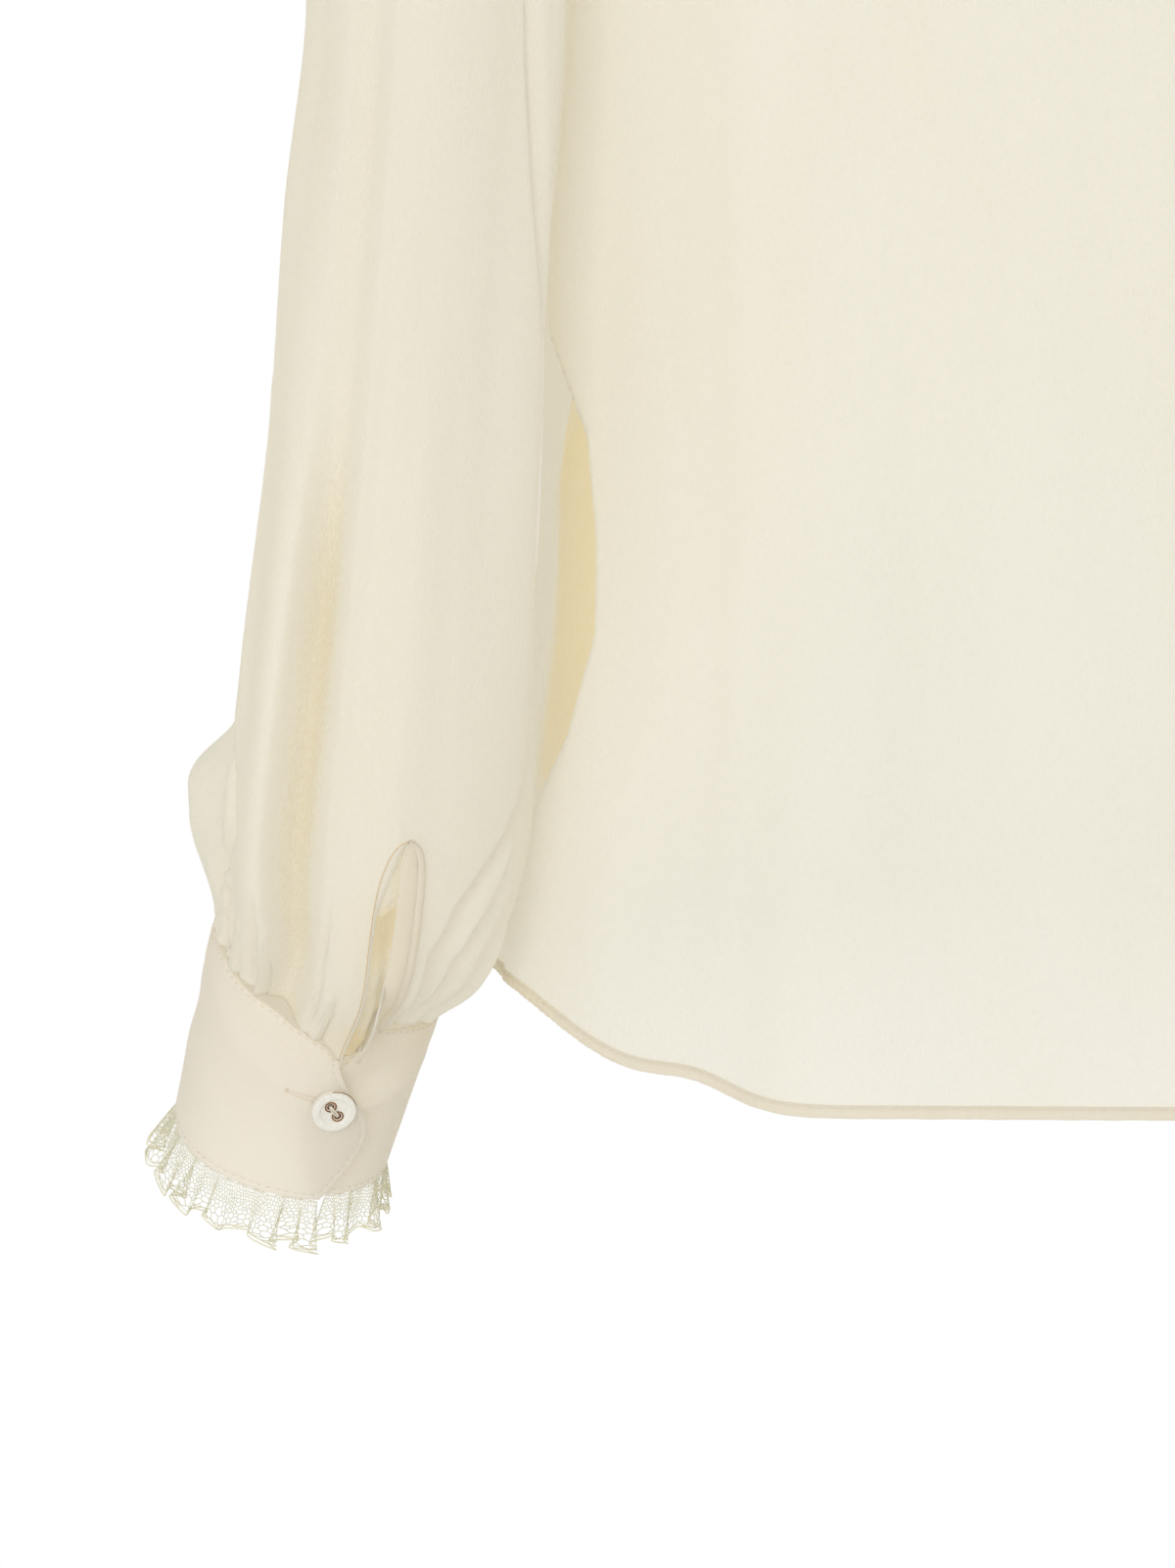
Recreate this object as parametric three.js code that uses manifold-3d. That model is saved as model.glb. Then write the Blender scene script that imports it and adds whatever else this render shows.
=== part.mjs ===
// A pull-on blouse in thin crepe, worn by nobody: full sleeves gathered into buttoned cuffs that are
// edged with a lace ruffle, a bound slit above each cuff, and a back tail longer than the front.
//
// Millimetres, +Z up. The front faces -Y and the wearer's left is +X. The origin is on the line where
// the blouse hangs on the shoulders, midway between the two points where neck and shoulder seam meet.
import * as THREE from "three";
import Module from "manifold-3d";
import { mergeVertices } from "three/addons/utils/BufferGeometryUtils.js";

// ---- Driving dimensions ------------------------------------------------------------------------

const SEAM_GAP = 0.3; // between two pieces that are sewn together
const CLOTH = 1.2; // wall of the body and the sleeves
const LACE = 1.0; // wall of the ruffle
const LEFT = 1; // the wearer's left, on +X
const RIGHT = -1;
const BACK = 1; // the back panel, on +Y
const FRONT = -1;

const NECK = { halfWidth: 92, backDrop: 26, frontDrop: 104, curve: 2.4 };
const SHOULDER = { halfWidth: 190, drop: 42, curve: 1.15 };
const UNDERARM = { z: -215, halfWidth: 222 };
const HEM = { side: -590, backCentre: -634, frontCentre: -574, sideCurve: 0.42 };

// The armhole is an oval loop seen from the side. Its edge moves in from the shoulder point to the
// middle of the armhole, and out again to the side seam.
const ARMHOLE = {
  middleX: 174,
  backHalfDepth: 54,
  frontHalfDepth: 60,
  middleZ: (UNDERARM.z - SHOULDER.drop) / 2,
  halfHeight: -(UNDERARM.z + SHOULDER.drop) / 2,
  shoulderCurve: 1.5,
  underarmCurve: 2.2,
};

// Horizontal sections of the body are superellipses: acrossPower says how squarely they turn at the
// side, and turn how steeply they arrive there. Their side seams swing forward towards the hem, by
// seamForward. back and front are the depths of the two panels from y = 0.
const SECTION = { acrossPower: 2.4, lengthSteps: 240 };
const BODY_SECTIONS = [
  { z: 0, turn: 1.2, halfWidth: 222, seamForward: 0, back: 50, front: 48 },
  { z: -45, turn: 1.2, halfWidth: 222, seamForward: 0, back: 68, front: 68 },
  { z: -100, turn: 1.2, halfWidth: 222, seamForward: 0, back: 90, front: 94 },
  { z: -150, turn: 1.25, halfWidth: 222, seamForward: 0, back: 101, front: 110 },
  { z: -215, turn: 1.6, halfWidth: 222, seamForward: 0, back: 105, front: 116 },
  { z: -300, turn: 2, halfWidth: 226, seamForward: 5, back: 101, front: 111 },
  { z: -400, turn: 2, halfWidth: 228, seamForward: 12, back: 97, front: 106 },
  { z: -480, turn: 2, halfWidth: 230, seamForward: 18, back: 98, front: 104 },
  { z: -590, turn: 2, halfWidth: 238, seamForward: 25, back: 103, front: 104 },
  { z: -640, turn: 2, halfWidth: 241, seamForward: 26, back: 105, front: 104 },
];

// Soft vertical folds of the body. around runs from the centre (0) to the side seam (1, or -1 on the
// wearer's right) along the panel. A fold with a height stands out, and one below zero is a trough.
const BACK_FOLDS = [
  { top: 0.93, bottom: 0.95, width: 0.055, height: -13, from: -240, to: -560 },
  { top: 0.83, bottom: 0.84, width: 0.06, height: 6, from: -230, to: -570 },
  { top: 0.71, bottom: 0.7, width: 0.045, height: -3.5, from: -250, to: -660 },
  { top: 0.6, bottom: 0.62, width: 0.06, height: 4, from: -190, to: -480 },
  { top: 0.5, bottom: 0.52, width: 0.07, height: 5, from: -430, to: -700 },
  { top: 0.38, bottom: 0.4, width: 0.08, height: -4, from: -380, to: -680 },
  { top: 0.14, bottom: 0.1, width: 0.1, height: 4, from: -260, to: -700 },
  { top: -0.16, bottom: -0.2, width: 0.09, height: -4, from: -300, to: -700 },
  { top: -0.36, bottom: -0.4, width: 0.08, height: 5, from: -360, to: -700 },
  { top: -0.58, bottom: -0.6, width: 0.06, height: -4.5, from: -220, to: -650 },
  { top: -0.82, bottom: -0.83, width: 0.06, height: 6, from: -230, to: -600 },
  { top: -0.93, bottom: -0.94, width: 0.055, height: -11, from: -250, to: -570 },
];
const FRONT_FOLDS = [
  { top: 0.9, bottom: 0.9, width: 0.06, height: -9, from: -250, to: -590 },
  { top: 0.78, bottom: 0.76, width: 0.07, height: 6, from: -230, to: -650 },
  { top: 0.5, bottom: 0.56, width: 0.08, height: -5, from: -260, to: -650 },
  { top: 0.3, bottom: 0.34, width: 0.09, height: 6, from: -240, to: -680 },
  { top: 0.05, bottom: 0.06, width: 0.1, height: -5, from: -260, to: -680 },
  { top: -0.22, bottom: -0.27, width: 0.09, height: 6, from: -230, to: -680 },
  { top: -0.47, bottom: -0.5, width: 0.08, height: -5, from: -260, to: -650 },
  { top: -0.74, bottom: -0.73, width: 0.07, height: 6, from: -240, to: -650 },
  { top: -0.9, bottom: -0.91, width: 0.06, height: -9, from: -250, to: -590 },
];

// Sections of a sleeve, on the wearer's left, below the cap. The arm hangs a little behind the side
// seam, and the forearm swings forward to the cuff. outward and backward are the half widths.
const SLEEVE_SECTIONS = [
  { x: 263, y: 32, z: -245, outward: 39, backward: 54 },
  { x: 251.5, y: 50, z: -320, outward: 36, backward: 52 },
  { x: 256, y: 58, z: -385, outward: 37, backward: 52 },
  { x: 260, y: 59, z: -450, outward: 38.5, backward: 53 },
  { x: 264, y: 51, z: -510, outward: 42.5, backward: 53 },
  { x: 269, y: 35, z: -550, outward: 44, backward: 51 },
  { x: 276, y: 17, z: -577, outward: 40, backward: 43 },
];

// Folds of a sleeve. around is in degrees, from the outer side (0) over the back (90) to the side by
// the body (180) and the front (270). from and to run from the underarm (0) to the cuff (1).
const SLEEVE_FOLDS = [
  { top: 72, bottom: 68, width: 11, height: -10, from: 0.36, to: 1.04 },
  { top: 50, bottom: 47, width: 12, height: 3.5, from: 0.3, to: 1.05 },
  { top: 88, bottom: 86, width: 9, height: 3, from: 0.36, to: 1.05 },
  { top: 152, bottom: 146, width: 13, height: 5, from: -0.1, to: 0.86 },
  { top: 170, bottom: 166, width: 12, height: -5, from: -0.05, to: 0.95 },
  { top: 16, bottom: 12, width: 9, height: 3, from: 0.0, to: 0.96 },
  { top: -2, bottom: 0, width: 9, height: -5, from: 0.05, to: 0.96 },
  { top: -26, bottom: -22, width: 16, height: 12, from: 0.74, to: 1.02 },
  { top: 205, bottom: 200, width: 16, height: -5, from: 0.3, to: 1.0 },
  { top: 232, bottom: 228, width: 13, height: -8, from: 0.2, to: 1.04 },
  { top: 262, bottom: 262, width: 16, height: 6, from: 0.3, to: 1.04 },
  { top: 292, bottom: 298, width: 13, height: -9, from: 0.25, to: 1.04 },
];
// Gathers run up from the cuff, by reach, and level the folds above them.
const GATHERS = { count: 18, height: 1.5, reach: 62, uneven: 0.9, level: 0.15 };
const FOLD_END = 0.35; // the share of a fold's length over which it rises from the cloth

// The cuff is a buttoned band round a slanted axis, and both its ends are cut to a point. Angles run
// as on the sleeve. The lap lies outside the underlap, which slides in behind it.
const CUFF = {
  top: new THREE.Vector3(284.2, 4, -592.6),
  bottom: new THREE.Vector3(297.6, -21.3, -639.3),
  topRadius: 34,
  bottomRadius: 31.3,
  wall: 1.8,
  sleeveGap: 0.5,
  lapStand: 2.6,
  lapFrom: 5,
  lapFull: 55,
  lapEnd: 100.5,
  lapSlant: 7,
  lapPoint: 21,
  underlapEnd: 109.7,
  underlapPoint: -20,
  pointAt: 0.53,
  pointCurve: 1.6,
  cornerLeft: 0.15,
  sleeveTurn: 0.8,
};

// The cuff's upper edge isn't level: it sinks by sink, along the cuff, where the sleeve pulls on it.
const CUFF_EDGE = [
  { around: -250, sink: -3 },
  { around: -235, sink: -2 },
  { around: -195, sink: 1.3 },
  { around: -90, sink: -2 },
  { around: 25, sink: -7.5 },
  { around: 65, sink: -3.4 },
  { around: 79, sink: 0 },
  { around: 90, sink: 2.7 },
  { around: 100, sink: 7.2 },
];

// The slit's two edges, as angles, at heights above the cuff.
const SLIT_EDGES = [
  { height: 0, lap: 100, underlap: 119 },
  { height: 18, lap: 95.5, underlap: 109 },
  { height: 36, lap: 92, underlap: 103 },
  { height: 54, lap: 91, underlap: 98.5 },
  { height: 72, lap: 95.5, underlap: 98.5 },
];
const SLIT_PULL = { columns: 5, above: 1.6 }; // how many columns draw to the slit, and how far above it

// Widths of the slit's binding, as shares of a column of the sleeve, and its height over the tip.
const BINDING = { lapWidth: 0.6, underlapWidth: 1.7, tipWidth: 4, wall: 1.0, stand: 0.4 };

// The ruffle's waves swing by rootSwing at its root and fully at its edge, and scallops edge it. uneven
// and unevenTurns make some waves wider than others.
const RUFFLE = {
  depth: 13.5,
  waves: 20,
  swing: 3.6,
  rootSwing: 0.15,
  flare: 4,
  scallop: 0.9,
  scallopsPerWave: 1.5,
  root: 0.6,
  endGap: 5,
  uneven: 0.12,
  unevenTurns: 6,
};
const BUTTON = {
  radius: 6.25,
  thickness: 2.2,
  rim: 0.6,
  dishRadius: 4.4,
  dishDepth: 0.5,
  holeRadius: 0.9,
  holeSpacing: 3.9,
  shank: 0.5,
  down: 0.45,
  around: 103.4,
};
// Where the lines that run down a panel from its neck corner and its shoulder point cross the chest,
// as a distance from the centre, and the hem, as a share of its half width. armhole says how the lines
// from the armhole crowd at the chest, and spread how late a line leaves its place at the top. inset
// keeps the lines apart beside the armhole, settle is the drop over which they spread evenly below it,
// and topRows is how close the first row lies to the top edge.
const PANEL_LINES = {
  chest: { neck: 125, shoulder: 170 },
  hem: { neck: 0.45, shoulder: 0.64 },
  armhole: 1.5,
  spread: 2,
  inset: 0.5,
  insetCurve: 0.7,
  topRows: 0.2,
  settle: 115,
};

const NECK_BAND = { width: 9, wall: 1.2, seamGap: 0.5 };
const CAP = { seamGap: 0.5, fall: 0.4 };

// How finely each piece is divided.
const MESH = {
  neck: 7,
  shoulder: 3,
  armhole: 9,
  bodyRows: 16,
  sleeveAround: 54,
  capRows: 3,
  armRows: 8,
  slitRows: 4,
  cuffAround: 48,
  cuffRows: 4,
  ruffleSteps: 4,
  buttonSides: 24,
  holeSides: 10,
};

// ---- Small helpers -----------------------------------------------------------------------------

const { lerp, clamp, degToRad, smoothstep } = THREE.MathUtils;

/** A column of a table, read smoothly at a value of its key column. Keys run one way down the rows. */
function fromTable(rows, key, column, value) {
  const way = Math.sign(rows[1][key] - rows[0][key]);
  const past = rows.findIndex((row) => way * row[key] > way * value);
  if (past === 0) return rows[0][column];
  if (past < 0) return rows[rows.length - 1][column];
  const [above, below] = [rows[past - 1], rows[past]];
  const straight = (value - above[key]) / (below[key] - above[key]);
  const soft = (straight + smoothstep(straight, 0, 1)) / 2;
  return lerp(above[column], below[column], soft);
}

/** A bump that is 1 at its middle and 0 from width away on. */
function bump(distance, width) {
  const share = Math.abs(distance) / width;
  return share >= 1 ? 0 : (1 + Math.cos(Math.PI * share)) / 2;
}

/** 1 between from and to, and softly down to 0 over the first and last part of that stretch. */
function stretch(position, from, to) {
  const soft = (to - from) * FOLD_END;
  return Math.min(smoothstep(position, from, from + soft), 1 - smoothstep(position, to - soft, to));
}

/** A closed wall from a grid of points on its outer side. Each cell is cut along its short diagonal.
 * outward is 1 where the outer side faces the cross product of the direction along a row and the
 * direction down the rows, and -1 where it faces the other way. onEdge turns the normal where the
 * wall ends at a seam, so that two walls meet flat. Cells that isOpen names are left out. */
function wallOf(grid, wall, { around = false, outward = 1, onEdge, isOpen = () => false } = {}) {
  const rows = grid.length;
  const columns = grid[0].length;
  const cellColumns = around ? columns : columns - 1;
  const at = (row, column) => grid[row][around ? (column + columns) % columns : column];
  const near = (value, size) => clamp(value, 0, size - 1);
  const inner = grid.map((line, row) =>
    line.map((point, column) => {
      const before = at(row, around ? column - 1 : near(column - 1, columns));
      const after = at(row, around ? column + 1 : near(column + 1, columns));
      const above = at(near(row - 1, rows), column);
      const below = at(near(row + 1, rows), column);
      const normal = new THREE.Vector3().crossVectors(after.clone().sub(before), below.clone().sub(above));
      if (onEdge) onEdge(normal.normalize(), row, column);
      return point.clone().addScaledVector(normal.normalize(), -wall * outward);
    }),
  );
  const points = [grid, inner].flatMap((side) => side.flat());
  const outerAt = (row, column) => row * columns + ((column + columns) % columns);
  const innerAt = (row, column) => rows * columns + outerAt(row, column);
  const faces = [];
  const quad = (a, b, c, d) => {
    const ring = outward > 0 ? [a, b, c, d] : [d, c, b, a];
    faces.push(ring[0], ring[1], ring[2], ring[0], ring[2], ring[3]);
  };
  const isCell = (row, column) => {
    if (row < 0 || row >= rows - 1) return false;
    if (!around && (column < 0 || column >= cellColumns)) return false;
    return !isOpen(row, (column + cellColumns) % cellColumns);
  };
  for (let row = 0; row < rows - 1; row++) {
    for (let column = 0; column < cellColumns; column++) {
      if (!isCell(row, column)) continue;
      const corners = [[row, column], [row + 1, column], [row + 1, column + 1], [row, column + 1]];
      const [a, b, c, d] = corners.map((corner) => outerAt(...corner));
      const [e, f, g, h] = corners.map((corner) => innerAt(...corner));
      const isShort = points[a].distanceTo(points[c]) < points[b].distanceTo(points[d]);
      quad(...(isShort ? [c, b, a, d] : [d, c, b, a]));
      quad(...(isShort ? [e, f, g, h] : [f, g, h, e]));
      if (!isCell(row - 1, column)) quad(a, e, h, d);
      if (!isCell(row + 1, column)) quad(c, g, f, b);
      if (!isCell(row, column - 1)) quad(b, f, e, a);
      if (!isCell(row, column + 1)) quad(d, h, g, c);
    }
  }
  const geometry = new THREE.BufferGeometry().setFromPoints(points);
  geometry.setIndex(faces);
  geometry.computeVertexNormals();
  return geometry;
}

/** A named mesh. */
function piece(name, geometry, material) {
  const mesh = new THREE.Mesh(geometry, material);
  mesh.name = name;
  return mesh;
}

// ---- Body --------------------------------------------------------------------------------------

/** The point of an armhole's edge at an angle from the shoulder point (0) to the underarm (180). */
function armholePoint(angle, panel) {
  const up = Math.cos(degToRad(angle));
  const depth = panel === BACK ? ARMHOLE.backHalfDepth : ARMHOLE.frontHalfDepth;
  const atShoulder = (SHOULDER.halfWidth - ARMHOLE.middleX) * Math.max(up, 0) ** ARMHOLE.shoulderCurve;
  const atUnderarm = (UNDERARM.halfWidth - ARMHOLE.middleX) * Math.max(-up, 0) ** ARMHOLE.underarmCurve;
  return new THREE.Vector3(
    ARMHOLE.middleX + atShoulder + atUnderarm,
    panel * depth * Math.sin(degToRad(angle)),
    ARMHOLE.middleZ + ARMHOLE.halfHeight * up,
  );
}

/** The half width of the shoulder line at height z. */
function shoulderHalfWidth(z) {
  const share = clamp(-z / SHOULDER.drop, 0, 1) ** (1 / SHOULDER.curve);
  return lerp(NECK.halfWidth, SHOULDER.halfWidth, share);
}

/** Where a section of one half of a panel ends: at the shoulder line, the armhole or the side seam. */
function sectionEdge(z, panel) {
  if (z > -SHOULDER.drop) return { x: shoulderHalfWidth(z), y: 0 };
  if (z <= UNDERARM.z) {
    const forward = fromTable(BODY_SECTIONS, "z", "seamForward", z);
    return { x: fromTable(BODY_SECTIONS, "z", "halfWidth", z), y: -panel * forward };
  }
  const angle = THREE.MathUtils.radToDeg(Math.acos((z - ARMHOLE.middleZ) / ARMHOLE.halfHeight));
  const edge = armholePoint(angle, panel);
  return { x: edge.x, y: Math.abs(edge.y) };
}

/** The angle along a section, 0 at the centre and 90 degrees at the side seam, by share of length. */
const angleByLength = (() => {
  const steps = SECTION.lengthSteps;
  const { halfWidth, back } = BODY_SECTIONS[BODY_SECTIONS.length - 1];
  const lengths = [0];
  const pointAt = (angle) => [
    halfWidth * Math.sin(angle) ** (2 / SECTION.acrossPower),
    back * Math.cos(angle),
  ];
  for (let i = 1; i <= steps; i++) {
    const [x0, y0] = pointAt(((i - 1) / steps) * (Math.PI / 2));
    const [x1, y1] = pointAt((i / steps) * (Math.PI / 2));
    lengths.push(lengths[i - 1] + Math.hypot(x1 - x0, y1 - y0));
  }
  return (share) => {
    const wanted = clamp(share, 0, 1) * lengths[steps];
    const i = clamp(lengths.findIndex((length) => length >= wanted), 1, steps);
    const part = (wanted - lengths[i - 1]) / (lengths[i] - lengths[i - 1]);
    return ((i - 1 + part) / steps) * (Math.PI / 2);
  };
})();

/** The columns of one half of a panel, from the centre out: where each starts, and its share of the
 * panel's width at the underarm (chestX) and at the hem (hemShare). */
function panelColumns(panel) {
  const columns = [];
  const neckDrop = panel === BACK ? NECK.backDrop : NECK.frontDrop;
  const { chest, hem } = PANEL_LINES;
  for (let i = 0; i < MESH.neck; i++) {
    const across = Math.sin((i / MESH.neck) * (Math.PI / 2));
    columns.push({
      topX: NECK.halfWidth * across,
      topZ: -neckDrop * (1 - across ** NECK.curve),
      chestX: chest.neck * (i / MESH.neck),
      hemShare: hem.neck * (i / MESH.neck),
    });
  }
  for (let i = 0; i < MESH.shoulder; i++) {
    const share = i / MESH.shoulder;
    columns.push({
      topX: lerp(NECK.halfWidth, SHOULDER.halfWidth, share),
      topZ: -SHOULDER.drop * share ** SHOULDER.curve,
      chestX: lerp(chest.neck, chest.shoulder, share),
      hemShare: lerp(hem.neck, hem.shoulder, share),
    });
  }
  for (let i = 0; i <= MESH.armhole; i++) {
    const share = i / MESH.armhole;
    const edge = armholePoint(180 * share, panel);
    columns.push({
      topX: edge.x,
      topZ: edge.z,
      chestX: lerp(chest.shoulder, UNDERARM.halfWidth, share ** PANEL_LINES.armhole),
      hemShare: lerp(hem.shoulder, 1, share),
    });
  }
  return columns;
}

/** How far the folds of a panel move its cloth at a share of its half width and a height. */
function foldHeight(folds, around, z) {
  return folds.reduce((sum, fold) => {
    const down = clamp((z - fold.from) / (fold.to - fold.from), 0, 1);
    const middle = lerp(fold.top, fold.bottom, down);
    return sum + fold.height * bump(around - middle, fold.width * 2) * stretch(-z, -fold.from, -fold.to);
  }, 0);
}

/** The hem's height at a share of the panel's half width. */
function hemHeight(panel, share) {
  const centre = panel === BACK ? HEM.backCentre : HEM.frontCentre;
  const fromSide = 1 - Math.abs(share);
  const curve = panel === BACK ? smoothstep(fromSide, 0, HEM.sideCurve) : 1 - share ** 2;
  return lerp(HEM.side, centre, curve);
}

/** A point of a panel: side is the wearer's left or right, column one of panelColumns, and down runs
 * from the panel's top edge (0) to its hem (1). */
function panelPoint(panel, side, column, down) {
  const hemZ = hemHeight(panel, column.hemShare);
  const z = lerp(column.topZ, hemZ, down * lerp(PANEL_LINES.topRows, 1, down));
  const edge = sectionEdge(z, panel);
  const depth = fromTable(BODY_SECTIONS, "z", panel === BACK ? "back" : "front", z);
  const chestAngle = Math.asin((column.chestX / UNDERARM.halfWidth) ** (SECTION.acrossPower / 2));
  let across;
  if (z > UNDERARM.z) {
    const up = clamp((z - UNDERARM.z) / (column.topZ - UNDERARM.z || 1), 0, 1);
    const inset = PANEL_LINES.inset * (1 - column.hemShare) * (1 - up) ** PANEL_LINES.insetCurve;
    const onEdge = down === 0 && column.topX >= NECK.halfWidth;
    const free = lerp(column.chestX, column.topX, up ** PANEL_LINES.spread) / edge.x;
    across = onEdge ? 1 : Math.min(free, 1 - inset);
  } else {
    const settled = smoothstep(UNDERARM.z - z, 0, PANEL_LINES.settle);
    const angle = lerp(chestAngle, angleByLength(column.hemShare), settled);
    across = Math.sin(angle) ** (2 / SECTION.acrossPower);
  }
  across = clamp(across, 0, 1);
  const turn = fromTable(BODY_SECTIONS, "z", "turn", z);
  const back = (1 - across ** SECTION.acrossPower) ** (1 / turn);
  const x = side * edge.x * across;
  const y = edge.y + (depth - edge.y) * back;
  const normal = new THREE.Vector2(
    (side * across ** (SECTION.acrossPower - 1)) / edge.x,
    back / depth,
  ).normalize();
  const folds = panel === BACK ? BACK_FOLDS : FRONT_FOLDS;
  const out = foldHeight(folds, side * column.hemShare, z);
  return new THREE.Vector3(x + normal.x * out, panel * (y + normal.y * out + SEAM_GAP / 2), z);
}

/** The whole front or back panel as a grid of points, from the wearer's right side seam to the left. */
function panelGrid(panel) {
  const half = panelColumns(panel);
  const line = [
    ...half.slice(1).reverse().map((column) => ({ side: RIGHT, column })),
    ...half.map((column) => ({ side: LEFT, column })),
  ];
  return Array.from({ length: MESH.bodyRows + 1 }, (_, row) =>
    line.map(({ side, column }) => panelPoint(panel, side, column, row / MESH.bodyRows)),
  );
}

/** The front or the back of the body. Its walls end flat at the side, shoulder and armhole seams. */
function bodyPanel(name, panel, material) {
  const last = 2 * (MESH.neck + MESH.shoulder + MESH.armhole);
  const onEdge = (normal, row, column) => {
    const fromSide = Math.min(column, last - column);
    const toSleeve = Math.sign(column - last / 2) * panel;
    if (fromSide === 0) normal.y = 0;
    else if (row === 0 && fromSide < MESH.armhole) normal.x = toSleeve * Math.max(toSleeve * normal.x, 0);
    else if (row === 0 && fromSide <= MESH.armhole + MESH.shoulder) normal.set(0, 0, panel);
  };
  return piece(name, wallOf(panelGrid(panel), CLOTH, { outward: panel, onEdge }), material);
}

/** A narrow band that finishes the neck edge all round, in line with the panels below it. */
function neckBand(material) {
  const reach = MESH.armhole + MESH.shoulder;
  const edge = [BACK, FRONT].flatMap((panel) => {
    const [top, next] = panelGrid(panel).map((row) => row.slice(reach, row.length - reach));
    const pairs = top.map((point, i) => ({ point, below: next[i] }));
    return panel === BACK ? pairs : pairs.slice(1, -1).reverse();
  });
  const away = edge.map(({ point, below }, i) => {
    const along = edge[(i + 1) % edge.length].point.clone();
    along.sub(edge[(i + edge.length - 1) % edge.length].point).normalize();
    return point.clone().sub(below).projectOnPlane(along).normalize();
  });
  const rows = [NECK_BAND.width, NECK_BAND.width / 2, NECK_BAND.seamGap].map((up) =>
    edge.map(({ point }, i) => point.clone().addScaledVector(away[i], up)),
  );
  return piece("neck_band", wallOf(rows, NECK_BAND.wall, { around: true }), material);
}

// ---- Cuff --------------------------------------------------------------------------------------

const cuffAxis = CUFF.bottom.clone().sub(CUFF.top);
const cuffHeight = cuffAxis.length();
const cuffDown = cuffAxis.clone().normalize();
const cuffOutward = new THREE.Vector3(1, 0, 0).projectOnPlane(cuffDown).normalize();
const cuffBackward = new THREE.Vector3().crossVectors(cuffOutward, cuffDown).normalize();

/** How far the cuff's upper edge sinks, as a share of the cuff's height, at an angle. */
function edgeSink(angle) {
  return fromTable(CUFF_EDGE, "around", "sink", angle) / cuffHeight;
}

/** How far the lap stands outside the underlap at an angle that runs back from the lap's end. */
function lapStand(angle) {
  return CUFF.lapStand * smoothstep(angle, CUFF.lapFrom, CUFF.lapFull);
}

/** A point on the wearer's left cuff: angle round it, down from its top (0) to its bottom (1). */
function cuffPoint(angle, down, out = 0) {
  const radius = lerp(CUFF.topRadius, CUFF.bottomRadius, down) + out;
  return CUFF.top
    .clone()
    .addScaledVector(cuffDown, cuffHeight * down)
    .addScaledVector(cuffOutward, radius * Math.cos(degToRad(angle)))
    .addScaledVector(cuffBackward, radius * Math.sin(degToRad(angle)));
}

/** How far the pointed end of the cuff reaches, from 0 at its top to 1 at the point. */
function endPoint(down) {
  if (down < CUFF.pointAt) return smoothstep(down, 0, CUFF.pointAt);
  const past = (down - CUFF.pointAt) / (1 - CUFF.pointAt);
  return 1 - (1 - CUFF.cornerLeft) * past ** CUFF.pointCurve;
}

/** The angle round the cuff at a share of the band's length, from the lap's end (0) to the other. */
function bandAngle(share, down) {
  const lap = CUFF.lapEnd + CUFF.lapSlant * down + CUFF.lapPoint * endPoint(down);
  const underlap = CUFF.underlapEnd + CUFF.underlapPoint * endPoint(down) - 360;
  return lerp(lap, underlap, share);
}

/** One point on the left (side 1) or right (side -1), by mirroring the left one. */
function onSide(side, point) {
  return new THREE.Vector3(side * point.x, point.y, point.z);
}

/** A cuff: the band from the lap round to the underlap. */
function cuff(name, side, material) {
  const rows = Array.from({ length: MESH.cuffRows + 1 }, (_, row) =>
    Array.from({ length: MESH.cuffAround + 1 }, (_, column) => {
      const inBand = row / MESH.cuffRows;
      const angle = bandAngle(column / MESH.cuffAround, inBand);
      const down = lerp(edgeSink(angle), 1, inBand);
      return onSide(side, cuffPoint(angle, down, lapStand(angle)));
    }),
  );
  return piece(name, wallOf(rows, CUFF.wall, { outward: side }), material);
}

/** The ruffle of lace that hangs from the cuff's lower edge, in waves that swing in and out. */
function ruffle(name, side, material) {
  const columns = RUFFLE.waves * MESH.ruffleSteps;
  const start = bandAngle(0, 1);
  const rows = [0, 1].map((out) =>
    Array.from({ length: columns + 1 }, (_, column) => {
      const share = column / columns;
      const angle = start - (360 - RUFFLE.endGap) * share;
      const once = 2 * Math.PI * share;
      const shift = 2 * Math.PI * RUFFLE.uneven * Math.sin(RUFFLE.unevenTurns * once);
      const wave = RUFFLE.waves * once + shift;
      const scallop = RUFFLE.scallop * Math.cos(RUFFLE.scallopsPerWave * wave);
      const drop = SEAM_GAP + out * (RUFFLE.depth + scallop);
      const swing = RUFFLE.swing * lerp(RUFFLE.rootSwing, 1, out) * Math.sin(wave);
      const lift = lapStand(angle) - RUFFLE.root + RUFFLE.flare * out + swing;
      return onSide(side, cuffPoint(angle, 1 + drop / cuffHeight, lift));
    }),
  );
  return piece(name, wallOf(rows, LACE, { outward: side }), material);
}

/** A round two-hole button with a dished face, lying on z = 0 and facing +Z. */
function buttonSolid(wasm) {
  const { radius, thickness, rim, dishRadius, dishDepth } = BUTTON;
  const profile = [
    [0, 0],
    [radius - rim, 0],
    [radius, rim],
    [radius, thickness - rim],
    [radius - rim, thickness],
    [dishRadius, thickness],
    [dishRadius - rim, thickness - dishDepth],
    [0, thickness - dishDepth],
  ].map(([r, height]) => new THREE.Vector2(r, height));
  const disc = new THREE.LatheGeometry(profile, MESH.buttonSides).rotateX(Math.PI / 2);
  const holes = [-0.5, 0.5].map((end) => {
    const { holeRadius } = BUTTON;
    const hole = new THREE.CylinderGeometry(holeRadius, holeRadius, 3 * thickness, MESH.holeSides);
    return solidOf(wasm, hole.rotateX(Math.PI / 2).translate(end * BUTTON.holeSpacing, 0, 0));
  });
  return holes.reduce((solid, hole) => solid.subtract(hole), solidOf(wasm, disc));
}

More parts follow.
